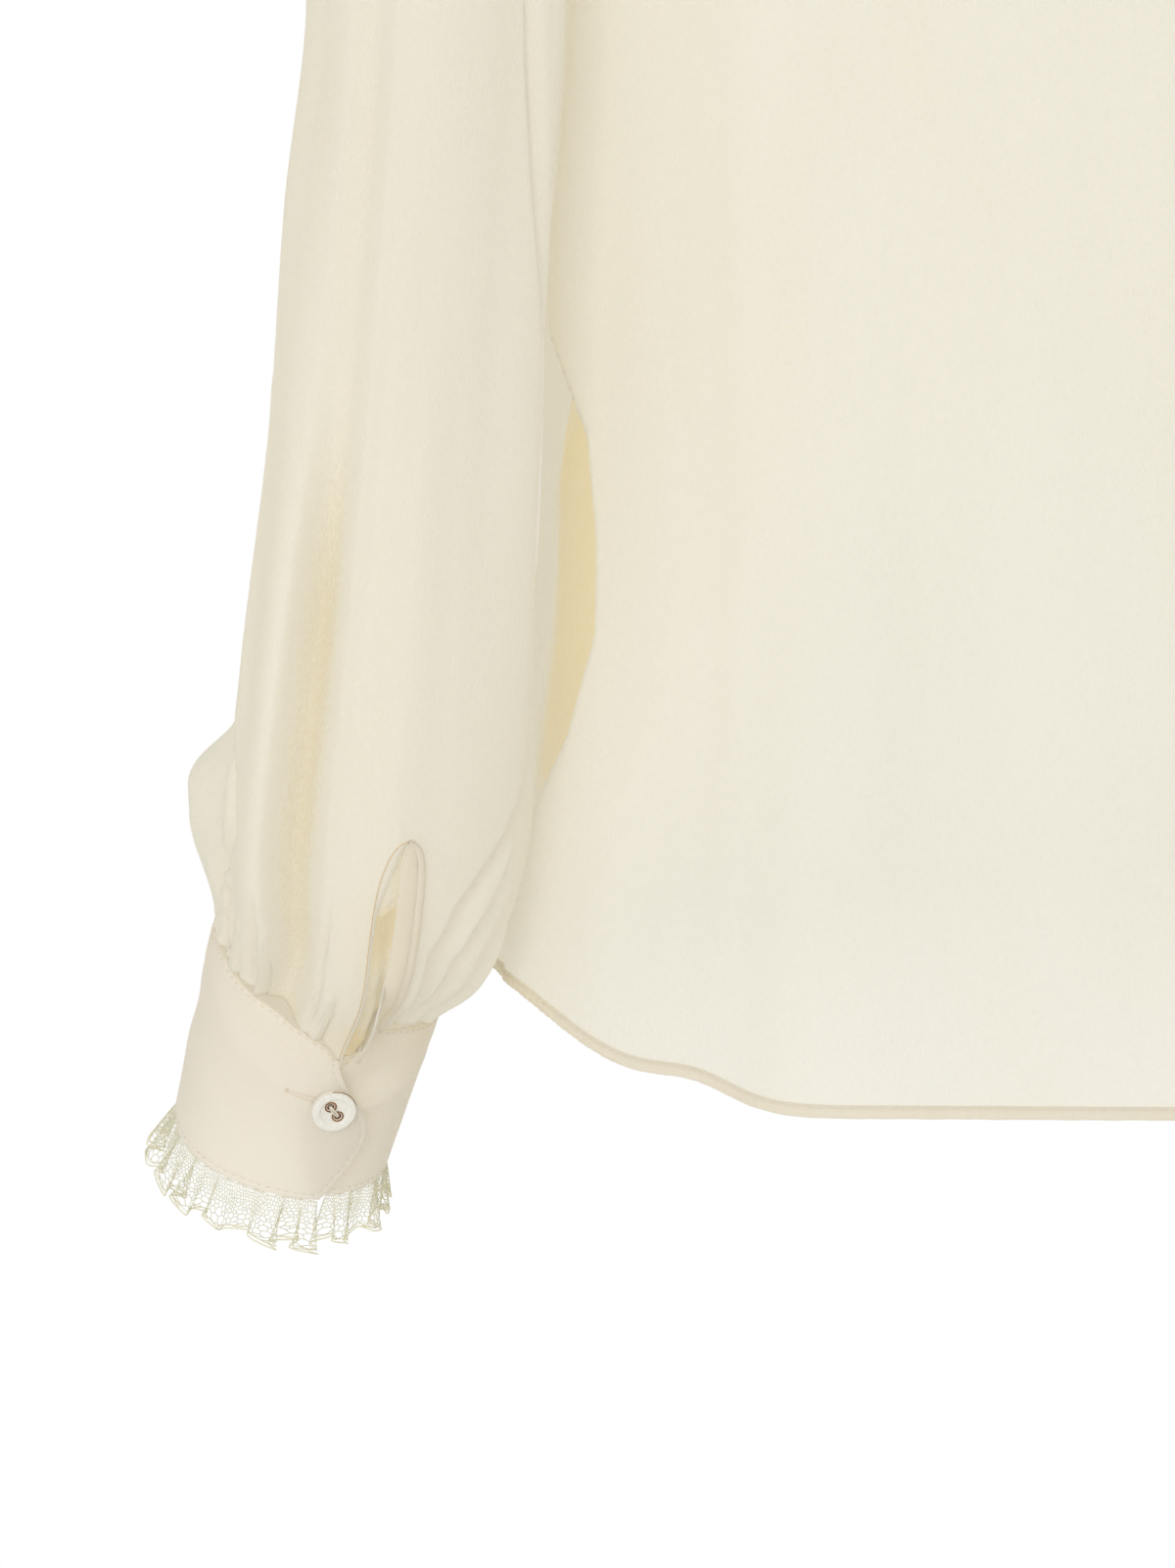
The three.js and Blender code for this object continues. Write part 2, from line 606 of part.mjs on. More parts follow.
/** A button on the lap of a cuff, with its two holes on a slant. */
function button(name, side, wasm, material) {
  const mesh = piece(name, geometryOf(buttonSolid(wasm)), material);
  const stand = lapStand(BUTTON.around) + BUTTON.shank;
  const seat = cuffPoint(BUTTON.around, BUTTON.down, stand);
  const facing = seat.clone().sub(cuffPoint(BUTTON.around, BUTTON.down, -CUFF.bottomRadius)).normalize();
  const slant = cuffDown.clone().sub(cuffOutward).projectOnPlane(facing).normalize();
  const [seatHere, facingHere, slantHere] = [seat, facing, slant].map((v) => onSide(side, v));
  const across = new THREE.Vector3().crossVectors(facingHere, slantHere);
  mesh.quaternion.setFromRotationMatrix(new THREE.Matrix4().makeBasis(slantHere, across, facingHere));
  mesh.position.copy(seatHere);
  return mesh;
}

// ---- Sleeve ------------------------------------------------------------------------------------

const sleeveCentres = new THREE.CatmullRomCurve3(
  [
    ...SLEEVE_SECTIONS.map(({ x, y, z }) => new THREE.Vector3(x, y, z)),
    CUFF.top.clone().addScaledVector(cuffDown, -CUFF.sleeveGap),
  ],
  false,
  "centripetal",
);
const sleeveLength = sleeveCentres.getLength();

/** A half width of the sleeve, outward or backward, at a share of its length from the underarm. */
function sleeveWidth(column, share) {
  const widths = [...SLEEVE_SECTIONS.map((row) => row[column]), CUFF.topRadius];
  const points = widths.map((width, i) => new THREE.Vector2(i, width));
  return new THREE.SplineCurve(points).getPoint(sleeveCentres.getUtoTmapping(share)).y;
}

/** How far the sleeve's folds and gathers move its cloth at an angle and a share of its length. */
function sleeveFold(angle, share) {
  const folds = SLEEVE_FOLDS.reduce((sum, fold) => {
    const down = clamp((share - fold.from) / (fold.to - fold.from), 0, 1);
    const away = ((angle - lerp(fold.top, fold.bottom, down) + 540) % 360) - 180;
    return sum + fold.height * bump(away, fold.width * 2) * stretch(share, fold.from, fold.to);
  }, 0);
  const height = (1 - share) * sleeveLength;
  const atCuff = 1 - smoothstep(height, 0, GATHERS.reach);
  const turn = degToRad(angle);
  const wave = Math.cos(GATHERS.count * turn + GATHERS.uneven * Math.sin(3 * turn));
  return folds * lerp(1, GATHERS.level, atCuff ** 2) + GATHERS.height * atCuff * (wave - 0.5);
}

/** A point on the tube of the wearer's left sleeve, below its cap. out moves it off the cloth. */
function tubePoint(angle, share, out = 0) {
  const atCuff = smoothstep(share, CUFF.sleeveTurn, 1);
  const down = sleeveCentres.getTangentAt(share).lerp(cuffDown, atCuff).normalize();
  const outward = new THREE.Vector3(1, 0, 0).projectOnPlane(down).normalize();
  const backward = new THREE.Vector3().crossVectors(outward, down).normalize();
  const onLap = angle > 0 && angle < slitMiddle((1 - share) * sleeveLength);
  const more = sleeveFold(angle, share) + out + (onLap ? lapStand(angle) * atCuff : 0);
  const turn = degToRad(angle);
  return sleeveCentres
    .getPointAt(share)
    .addScaledVector(cuffDown, edgeSink(onLap || angle <= 0 ? angle : angle - 360) * cuffHeight * atCuff)
    .addScaledVector(outward, (sleeveWidth("outward", share) + more) * Math.cos(turn))
    .addScaledVector(backward, (sleeveWidth("backward", share) + more) * Math.sin(turn));
}

/** A point of the armhole's edge, on the same straight stretches as the edge of the body. */
function armholeEdge(angle) {
  const [panel, fromTop] = angle <= 180 ? [BACK, angle] : [FRONT, 360 - angle];
  const place = (fromTop / 180) * MESH.armhole;
  const i = Math.min(Math.floor(place), MESH.armhole - 1);
  const [start, end] = [i, i + 1].map((k) => armholePoint((180 * k) / MESH.armhole, panel));
  return start.lerp(end, place - i).add(new THREE.Vector3(CAP.seamGap, 0, 0));
}

/** A point of the cap, between the armhole (down 0) and the top of the tube (down 1). */
function capPoint(angle, down) {
  const start = armholeEdge(angle);
  const end = tubePoint(angle, 0);
  const reach = start.distanceTo(end);
  const leave = new THREE.Vector3(1, 0, -CAP.fall).normalize();
  const arrive = sleeveCentres.getTangentAt(0);
  return new THREE.Vector3()
    .addScaledVector(start, 2 * down ** 3 - 3 * down ** 2 + 1)
    .addScaledVector(leave, (down ** 3 - 2 * down ** 2 + down) * reach)
    .addScaledVector(end, -2 * down ** 3 + 3 * down ** 2)
    .addScaledVector(arrive, (down ** 3 - down ** 2) * reach);
}

/** The angle of the slit's edge on one side, lap or underlap, at a height above the cuff. */
function slitEdge(edge, height) {
  return fromTable(SLIT_EDGES, "height", edge, height);
}

/** The angle midway across the slit at a height above the cuff. */
function slitMiddle(height) {
  return (slitEdge("lap", height) + slitEdge("underlap", height)) / 2;
}

/** The height above the cuff of one of the tube's rows: evenly down the arm, and down the slit. */
function rowHeight(row) {
  const slitTop = SLIT_EDGES[SLIT_EDGES.length - 1].height;
  if (row <= MESH.armRows) return lerp(sleeveLength, slitTop, row / MESH.armRows);
  return slitTop * (1 - (row - MESH.armRows) / MESH.slitRows);
}

/** The column of the sleeve's grid on the lap side of the slit. The next one is on the other side. */
const lapColumn = Math.floor((slitMiddle(rowHeight(MESH.armRows)) * MESH.sleeveAround) / 360);

/** The angle of a column of the sleeve's grid at a height above the cuff. Columns crowd to the slit. */
function columnAngle(column, height) {
  const step = 360 / MESH.sleeveAround;
  const slitTop = rowHeight(MESH.armRows);
  const onLap = column <= lapColumn;
  const past = onLap ? column - lapColumn : column - lapColumn - 1;
  const beside = bump(past, SLIT_PULL.columns);
  const near = beside * (1 - smoothstep(height, slitTop, SLIT_PULL.above * slitTop));
  return lerp(column * step, slitEdge(onLap ? "lap" : "underlap", height) + past * step, near);
}

/** A sleeve: the cap, the full tube, and the gathered edge with its slit. */
function sleeve(name, side, material) {
  const columns = Array.from({ length: MESH.sleeveAround }, (_, column) => column);
  const capRows = Array.from({ length: MESH.capRows }, (_, row) =>
    columns.map((column) => onSide(side, capPoint((column * 360) / MESH.sleeveAround, row / MESH.capRows))),
  );
  const tubeRows = Array.from({ length: MESH.armRows + MESH.slitRows + 1 }, (_, row) => {
    const height = rowHeight(row);
    return columns.map((column) =>
      onSide(side, tubePoint(columnAngle(column, height), 1 - height / sleeveLength)),
    );
  });
  const isOpen = (row, column) => column === lapColumn && row >= MESH.capRows + MESH.armRows;
  const onEdge = (normal, row) => {
    if (row === 0) normal.x = 0;
  };
  const grid = [...capRows, ...tubeRows];
  return piece(name, wallOf(grid, CLOTH, { around: true, outward: -side, onEdge, isOpen }), material);
}

/** The binding of the slit: a strip up its lap edge, over its top and down its underlap edge, each of
 * them on the sleeve's own points and moved out. */
function slitBinding(name, side, material) {
  const { underlapWidth, lapWidth, tipWidth, stand, wall } = BINDING;
  const strips = [
    { column: lapColumn, width: -lapWidth },
    { column: lapColumn + 1, width: underlapWidth },
  ];
  const [lapStrip, underlapStrip] = strips.map(({ column, width }) =>
    Array.from({ length: MESH.slitRows }, (_, row) => {
      const height = rowHeight(MESH.armRows + row);
      const edge = columnAngle(column, height);
      const next = columnAngle(column + Math.sign(width), height);
      return [edge, lerp(edge, next, Math.abs(width))].map((angle) => ({ angle, height }));
    }),
  );
  const [inner, outer] = [lapStrip[0], underlapStrip[0]];
  const tip = [
    { angle: (inner[0].angle + outer[0].angle) / 2, height: inner[0].height },
    { angle: (inner[1].angle + outer[1].angle) / 2, height: inner[0].height + tipWidth },
  ];
  const rows = [...lapStrip.reverse(), tip, ...underlapStrip].map((pair) =>
    pair.map(({ angle, height }) => onSide(side, tubePoint(angle, 1 - height / sleeveLength, stand + wall))),
  );
  return piece(name, wallOf(rows, wall, { outward: side }), material);
}

// ---- Booleans for the buttons ------------------------------------------------------------------

/** A geometry as a manifold-3d solid. */
function solidOf(wasm, geometry) {
  const bare = geometry.clone();
  bare.deleteAttribute("normal");
  bare.deleteAttribute("uv");
  const merged = mergeVertices(bare, 1e-4);
  return new wasm.Manifold(
    new wasm.Mesh({
      numProp: 3,
      vertProperties: new Float32Array(merged.attributes.position.array),
      triVerts: new Uint32Array(merged.index.array),
    }),
  );
}

/** A manifold-3d solid as a geometry. */
function geometryOf(solid) {
  const mesh = solid.getMesh();
  const geometry = new THREE.BufferGeometry();
  geometry.setAttribute("position", new THREE.BufferAttribute(mesh.vertProperties, 3));
  geometry.setIndex(new THREE.BufferAttribute(mesh.triVerts, 1));
  geometry.computeVertexNormals();
  return geometry;
}

// ---- The blouse --------------------------------------------------------------------------------

const crepe = new THREE.MeshStandardMaterial({ color: 0xece5d3, roughness: 0.82, side: THREE.DoubleSide });
const cuffCrepe = new THREE.MeshStandardMaterial({ color: 0xeee7d6, roughness: 0.8 });
const net = new THREE.MeshStandardMaterial({ color: 0xf0ecda, roughness: 0.9 });
const pearl = new THREE.MeshStandardMaterial({ color: 0xe4dfd2, roughness: 0.35 });

const wasm = await Module();
wasm.setup();

const blouse = new THREE.Group();
blouse.add(bodyPanel("back_panel", BACK, crepe), bodyPanel("front_panel", FRONT, crepe), neckBand(crepe));
for (const [word, side] of [["left", LEFT], ["right", RIGHT]]) {
  blouse.add(
    sleeve(`${word}_sleeve`, side, crepe),
    slitBinding(`${word}_slit_binding`, side, crepe),
    cuff(`${word}_cuff`, side, cuffCrepe),
    ruffle(`${word}_cuff_lace`, side, net),
    button(`${word}_cuff_button`, side, wasm, pearl),
  );
}

export default blouse;
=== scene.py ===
"""A worn crepe blouse with full sleeves, buttoned cuffs and lace ruffles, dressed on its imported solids.

The shapes start from the sizes of the solids and add finer form. Lengths are millimetres until a mesh
is made.
"""

import logging
import math
from collections.abc import Callable, Sequence
from dataclasses import dataclass, replace
from enum import Enum

import bmesh
import bpy
import numpy as np
from mathutils import Matrix, Vector
from mathutils.geometry import delaunay_2d_cdt


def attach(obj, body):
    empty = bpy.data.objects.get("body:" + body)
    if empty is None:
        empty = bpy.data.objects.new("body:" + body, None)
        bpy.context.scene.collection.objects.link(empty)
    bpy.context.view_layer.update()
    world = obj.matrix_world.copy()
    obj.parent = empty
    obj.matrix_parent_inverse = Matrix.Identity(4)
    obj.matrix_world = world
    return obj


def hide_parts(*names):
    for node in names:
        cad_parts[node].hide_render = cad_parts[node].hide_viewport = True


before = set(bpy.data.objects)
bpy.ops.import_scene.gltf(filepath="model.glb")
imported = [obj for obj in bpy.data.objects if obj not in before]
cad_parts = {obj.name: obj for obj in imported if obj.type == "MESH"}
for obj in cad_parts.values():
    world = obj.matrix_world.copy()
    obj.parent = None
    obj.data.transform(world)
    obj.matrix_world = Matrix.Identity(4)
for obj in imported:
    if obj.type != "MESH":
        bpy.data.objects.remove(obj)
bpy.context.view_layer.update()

log = logging.getLogger("blouse")
Array = np.ndarray
Object = bpy.types.Object
Material = bpy.types.Material
Materials = dict[str, Material]
NodeSocket = bpy.types.NodeSocket
Place = tuple[float, float, float]
Colour = tuple[float, float, float]
MM = 0.001
UP = np.array((0.0, 0.0, 1.0))
SIDEWAYS = np.array((1.0, 0.0, 0.0))


class Side(Enum):
    """The wearer's left, on +X, or right."""

    LEFT = 1
    RIGHT = -1

    def name_of(self, piece: str) -> str:
        """The name of a piece on this side."""
        return f"{self.name.lower()}_{piece}"

    def place(self, points: Array) -> Array:
        """Points of the left side, mirrored if this is the right one."""
        return points * (self.value, 1.0, 1.0)


class Panel(Enum):
    """The back of the body, on +Y, or its front."""

    BACK = 1
    FRONT = -1

    @property
    def node(self) -> str:
        """The panel's CAD node."""
        return f"{self.name.lower()}_panel"


# ---- Small helpers -----------------------------------------------------------------------------


def lerp(start: Array | float, end: Array | float, share: Array | float) -> Array | float:
    """The value at a share of the way from start to end."""
    return start + (end - start) * share


def smoothstep(value: Array | float, low: float, high: float) -> Array:
    """0 below low and 1 above high, with a soft rise between them."""
    share = np.clip((value - low) / (high - low), 0.0, 1.0)
    return share * share * (3.0 - 2.0 * share)


def bump(distance: Array, width: Array | float, sharp: float = 1.0) -> Array:
    """1 at the middle of a ridge and 0 from width away on. A sharp above 1 narrows its crest."""
    share = np.clip(np.abs(distance) / width, 0.0, 1.0)
    return ((1.0 + np.cos(np.pi * share)) / 2.0) ** sharp


def stretch(position: Array, start: float, end: float, soft: float = 0.35) -> Array:
    """1 between start and end, falling softly to 0 over the first and last part of that stretch."""
    ease = (end - start) * soft
    rise = smoothstep(position, start, start + ease)
    return np.minimum(rise, 1.0 - smoothstep(position, end - ease, end))


def unit(vectors: Array) -> Array:
    """Vectors at length 1."""
    return vectors / np.maximum(np.linalg.norm(vectors, axis=-1, keepdims=True), 1e-9)


def off_plane(vectors: Array, normal: Array) -> Array:
    """Vectors without their part along a unit normal."""
    return vectors - np.sum(vectors * normal, axis=-1, keepdims=True) * normal


def normals_of(grid: Array, wrap: bool = False) -> Array:
    """Unit normals of a grid of points: the direction along a row crossed with the one down the rows."""
    if wrap:
        along = np.roll(grid, -1, axis=1) - np.roll(grid, 1, axis=1)
    else:
        along = np.gradient(grid, axis=1)
    return unit(np.cross(along, np.gradient(grid, axis=0)))


def painted_shade_of(lift: Array, shallow: float, deep: float) -> Array:
    """The share of painted shade: 0 where the cloth is moved inwards by less than shallow, to 1 where by deep
    or more.
    """
    return smoothstep(-lift, shallow, deep)


def lengths_along(path: Array) -> Array:
    """The length walked along a path of points at each of them."""
    steps = np.linalg.norm(np.diff(path, axis=0), axis=1)
    return np.concatenate(([0.0], np.cumsum(steps)))


def walk(path: Array, lengths: Array, at: Array) -> Array:
    """The rows of a path, or of anything given beside it, at some of the lengths along it."""
    return np.stack([np.interp(at, lengths, column) for column in path.T], axis=-1)


def paired(across: Array, down: Array) -> Array:
    """Cloth coordinates from two arrays that spread over each other."""
    return np.stack(np.broadcast_arrays(across, down), axis=-1)


def circle(radius: float, sides: int) -> Array:
    """A round section of a thread or cord."""
    turn = np.linspace(0.0, 2.0 * np.pi, sides + 1)[:-1]
    return radius * np.stack([np.cos(turn), np.sin(turn)], axis=1)


def arch(distance: Array) -> Array:
    """A round arch: 1 at distance 0, and 0 from distance 1 away on."""
    return np.sqrt(np.clip(1.0 - distance**2, 0.0, 1.0))


def through(share: Array, start: Array, end: Array, leave: Array, arrive: Array) -> Array:
    """A smooth curve from start to end that leaves and arrives at the given rates."""
    cubic = 2 * start - 2 * end + leave + arrive
    square = -3 * start + 3 * end - 2 * leave - arrive
    return ((cubic * share + square) * share + leave) * share + start


def from_middle(away: Array, turn: float | None) -> Array:
    """Distances across a fold, measured the short way round where a turn closes on itself."""
    return (away + 1.5 * turn) % turn - turn / 2.0 if turn else away


class Table:
    """Rows of sizes under named columns, read smoothly at values of the first column."""

    def __init__(self, names: str, *rows: tuple[float, ...]) -> None:
        """Keeps the rows in rising order of their first column."""
        ordered = np.array(sorted(rows), float)
        self.columns = dict(zip(names.split(), ordered.T, strict=True))
        self.keys = ordered[:, 0]

    def _between(self, value: Array | float) -> tuple[Array, Array]:
        """The row at or before a value, and how far the value lies from it to the next, as a share."""
        value = np.clip(value, self.keys[0], self.keys[-1])
        i = np.clip(np.searchsorted(self.keys, value, side="right") - 1, 0, len(self.keys) - 2)
        return i, (value - self.keys[i]) / (self.keys[i + 1] - self.keys[i])

    def read(self, column: str, value: Array | float) -> Array:
        """A column's value at a value of the first column.

        Args:
            column: The name of the column.
            value: Where to read it. Past the ends, the end row holds.

        Returns:
            The value between the two rows around it, eased a little at each row.
        """
        i, straight = self._between(value)
        soft = (straight + smoothstep(straight, 0.0, 1.0)) / 2.0
        held = self.columns[column]
        return lerp(held[i], held[i + 1], soft)

    def curve(self, column: str, value: Array | float) -> Array:
        """A column's value as read gives it, but on one smooth curve through all rows."""
        held = self.columns[column]
        slopes = np.gradient(held, self.keys)
        i, share = self._between(value)
        span = self.keys[i + 1] - self.keys[i]
        return through(share, held[i], held[i + 1], slopes[i] * span, slopes[i + 1] * span)


@dataclass(frozen=True)
class Fold:
    """A fold of the cloth. Its middle runs from top to bottom, and it lies between start and end."""

    top: float
    bottom: float
    width: float
    height: float
    start: float
    end: float
    sharp: float = 1.0

    def lift(self, around: Array, down: Array, turn: float | None = None) -> Array:
        """How far the fold moves the cloth out.

        Args:
            around: Places across the folds, in the units of top and bottom.
            down: Places along the folds, in the units of start and end.
            turn: The size of a whole turn, where around closes on itself.

        Returns:
            Millimetres, one for each place.
        """
        share = np.clip((down - self.start) / (self.end - self.start), 0.0, 1.0)
        away = from_middle(around - lerp(self.top, self.bottom, share), turn)
        ridge = self.height * bump(away, 2.0 * self.width, self.sharp)
        return ridge * stretch(down, self.start, self.end)


@dataclass(frozen=True)
class Crease:
    """A crease with a bent run. Its two sides may differ, so that one layer seems to lie on the next.

    run has a row for each bend: the place along the crease, then its middle across. before and after
    are its widths towards smaller and larger places across.
    """

    run: tuple[tuple[float, float], ...]
    before: float
    after: float
    height: float
    soft: float = 0.35

    def lift(self, around: Array, down: Array, turn: float | None = None) -> Array:
        """How far the crease moves the cloth out, as for a fold."""
        along, middle = np.array(sorted(self.run), float).T
        away = from_middle(around - np.interp(down, along, middle), turn)
        width = np.where(away < 0.0, self.before, self.after)
        return self.height * bump(away, width) * stretch(down, along[0], along[-1], self.soft)


# A stitch's rings: the share of its length, then thickness and height as shares of its radius.
STITCH_PROFILE = ((0.0, 0.35, -1.0), (0.12, 0.8, 0.1), (0.5, 1.0, 0.55), (0.88, 0.8, 0.1), (1.0, 0.35, -1.0))


class Cloth:
    """Points, faces and cloth coordinates that are gathered into one mesh."""

    def __init__(self) -> None:
        """Starts empty."""
        self.points: list[Array] = []
        self.faces: list[Array] = []
        self.corners: list[Array] = []
        # The share of painted shade at each point.
        self.painted_shades: list[Array] = []
        self.count = 0

    def add(
        self, points: Array, faces: Array, corner_uv: Array | None = None, depth: Array | float = 0.0
    ) -> None:
        """Adds faces that all have the same number of corners.

        Args:
            points: Their points, in millimetres.
            faces: Rows of indices into points.
            corner_uv: A pair of cloth coordinates for each corner, in metres.
            depth: How much painted shade each point gets, from 0 to 1.
        """
        if corner_uv is None:
            flat = points[faces][..., [0, 2]] * MM
            corner_uv = flat - np.floor(flat.min(axis=(0, 1)))
        self.points.append(points.reshape(-1, 3))
        self.faces.append(faces + self.count)
        self.corners.append(corner_uv.reshape(-1, 2))
        self.painted_shades.append(np.broadcast_to(depth, points.shape[:-1]).ravel())
        self.count += len(self.points[-1])

    def add_grid(
        self,
        points: Array,
        uv: Array,
        outward: int = 1,
        wrap: bool = False,
        is_open: Callable[[Array, Array], Array] | None = None,
        depth: Array | float = 0.0,
    ) -> None:
        """Adds a grid of points as one layer of cloth.

        Args:
            points: Rows of points, in millimetres.
            uv: Cloth coordinates in millimetres, with one more column than points where it wraps.
            outward: 1 where the outer side faces along a row crossed with down the rows, else -1.
            wrap: Whether the last column joins the first.
            is_open: Says which cells, by row and column, are left out.
            depth: How much painted shade each point gets, from 0 to 1.
        """
        rows, columns = points.shape[:2]
        cells = np.meshgrid(np.arange(rows - 1), np.arange(columns - (not wrap)), indexing="ij")
        row, column = (part.ravel() for part in cells)
        if is_open is not None:
            kept = ~is_open(row, column)
            row, column = row[kept], column[kept]
        after = (column + 1) % columns
        quads = [(row, column), (row, after), (row + 1, after), (row + 1, column)]
        faces = np.stack([r * columns + c for r, c in quads], axis=1)
        uvs = [uv[row, column], uv[row, column + 1], uv[row + 1, column + 1], uv[row + 1, column]]
        corner_uv = np.stack(uvs, axis=1) * MM
        if outward < 0:
            faces, corner_uv = faces[:, ::-1], corner_uv[:, ::-1]
        self.add(points, faces, corner_uv, depth)

    def add_sweep(self, path: Array, across: Array, out: Array, section: Array) -> None:
        """Adds a section swept along a path, with closed ends.

        Args:
            path: Points of the path.
            across: The direction of the section's first coordinate at each point.
            out: The direction of its second coordinate.
            section: Points of the section, or one such set for each point of the path.
        """
        section = np.broadcast_to(section, (len(path), *section.shape[-2:]))
        rings = path[:, None] + across[:, None] * section[..., :1] + out[:, None] * section[..., 1:]
        sides = section.shape[1]
        uv = paired(lengths_along(path)[:, None], np.linspace(0.0, 1.0, sides + 1))
        turns = np.dot(np.cross(across[0], out[0]), path[1] - path[0])
        area = np.sum(section[0, :, 0] * np.roll(section[0, :, 1], -1))
        area -= np.sum(section[0, :, 1] * np.roll(section[0, :, 0], -1))
        outward = 1 if turns * area < 0 else -1
        self.add_grid(rings, uv, -outward, wrap=True)
        for end, way in ((0, -1), (-1, 1)):
            self.add(rings[end], np.arange(sides)[None, :: way * -outward])

    def add_stitches(
        self,
        path: Array,
        out: Array,
        length: float = 2.0,
        gap: float = 0.7,
        radius: float = 0.13,
        lift: float = 0.0,
    ) -> None:
        """Adds a row of stitches along a path, each a short thread that dips at both ends.

        Args:
            path: Points of the row.
            out: The direction away from the cloth at each point.
            length: The length of a stitch.
            gap: The space between two stitches.
            radius: Half the thread's thickness.
            lift: How far the row stands off the path.
        """
        lengths = lengths_along(path)
        total = lengths[-1]
        count = max(int(total / (length + gap)), 1)
        starts = (np.arange(count) + 0.5) * total / count - length / 2.0
        turns = np.linspace(0.0, 2.0 * np.pi, 5)[:-1] + np.pi / 4.0
        rings = []
        for along, thick, high in STITCH_PROFILE:
            at = starts + along * length
            away = unit(walk(out, lengths, at))
            middle = walk(path, lengths, at) + away * (lift + high * radius)
            ahead = walk(path, lengths, at + 0.2) - walk(path, lengths, at - 0.2)
            beside = unit(np.cross(ahead, away))
            reach = thick * radius
            ring = [middle + reach * (np.cos(turn) * beside + np.sin(turn) * away) for turn in turns]
            rings.append(np.stack(ring, axis=1))
        points = np.stack(rings, axis=1)
        sides = [
            (ring * 4 + side, ring * 4 + (side + 1) % 4, ring * 4 + 4 + (side + 1) % 4, ring * 4 + 4 + side)
            for ring in range(4)
            for side in range(4)
        ]
        one = np.array([*sides, (3, 2, 1, 0), (16, 17, 18, 19)])[:, ::-1]
        faces = (one[None] + 20 * np.arange(count)[:, None, None]).reshape(-1, 4)
        self.add(points.reshape(-1, 3), faces)

    def piece(self, name: str, material: Material, slot: str) -> Object:
        """Makes the mesh, smooth, and lets it ride on the part.

        Args:
            name: The piece's name.
            material: Its finish.
            slot: The record's material slot that it belongs to. It is not used.

        Returns:
            The new object.
        """
        points = np.concatenate(self.points) * MM
        loops = np.concatenate([part.ravel() for part in self.faces])
        sizes = np.concatenate([np.full(len(part), part.shape[1]) for part in self.faces])
        used, loops = np.unique(loops, return_inverse=True)
        mesh = bpy.data.meshes.new(name)
        mesh.vertices.add(len(used))
        mesh.vertices.foreach_set("co", points[used].astype(np.float32).ravel())
        mesh.loops.add(len(loops))
        mesh.loops.foreach_set("vertex_index", loops.astype(np.int32))
        mesh.polygons.add(len(sizes))
        mesh.polygons.foreach_set("loop_start", (np.cumsum(sizes) - sizes).astype(np.int32))
        corners = np.concatenate(self.corners).astype(np.float32)
        mesh.uv_layers.new(name="cloth")
        mesh.uv_layers["cloth"].uv.foreach_set("vector", corners.ravel())
        # The share of painted shade at each point, for creases and recesses.
        shade = mesh.attributes.new("hollow", "FLOAT", "POINT")
        shade.data.foreach_set("value", np.concatenate(self.painted_shades)[used].astype(np.float32))
        mesh.update(calc_edges=True)
        mesh.validate()
        mesh.shade_smooth()
        mesh.materials.append(material)
        made = bpy.data.objects.new(name, mesh)
        bpy.context.scene.collection.objects.link(made)
        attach(made, "root")
        log.info("%s: %d faces", name, len(mesh.polygons))
        return made


def select_only(piece: Object) -> None:
    """Deselects everything else and makes a piece the active one."""
    bpy.ops.object.select_all(action="DESELECT")
    piece.select_set(True)
    bpy.context.view_layer.objects.active = piece


def round_edges(piece: Object, radius: float, segments: int, sharper_than: float) -> None:
    """Rounds a piece's edges.

    Args:
        piece: The piece, already selected.
        radius: The radius of the edges, in millimetres.
        segments: How many faces go round an edge.
        sharper_than: The smallest angle of an edge that is rounded, in degrees.
    """
    bevel = piece.modifiers.new("edge", "BEVEL")
    bevel.width = radius * MM
    bevel.segments = segments
    bevel.limit_method = "ANGLE"
    bevel.angle_limit = math.radians(sharper_than)
    bpy.ops.object.modifier_apply(modifier=bevel.name)


def thicken(piece: Object, wall: float, offset: float, rounded: float = 0.0) -> None:
    """Gives a sheet a wall, and rounds its edges.

    Args:
        piece: The sheet.
        wall: Its thickness, in millimetres.
        offset: -1 where the wall grows inwards, 0 where it grows both ways.
        rounded: The radius of the edges, in millimetres.
    """
    select_only(piece)
    solid = piece.modifiers.new("wall", "SOLIDIFY")
    solid.thickness = wall * MM
    solid.offset = offset
    solid.use_rim = True
    bpy.ops.object.modifier_apply(modifier=solid.name)
    if rounded > 0.0:
        round_edges(piece, rounded, 2, 50.0)
    piece.data.shade_smooth()


# ---- Finishes ----------------------------------------------------------------------------------


def new_socket(
    group: bpy.types.NodeTree, name: str, out: bool, kind: str, value: float | None = None
) -> None:
    """Adds a named input or output to a node group.

    Args:
        group: The node group.
        name: The socket's name.
        out: Whether it is an output.
        kind: NodeSocketFloat, NodeSocketColor or NodeSocketVector.
        value: The default of a float input.
    """
    socket = group.interface.new_socket(name=name, in_out="OUTPUT" if out else "INPUT", socket_type=kind)
    if value is not None:
        socket.default_value = value


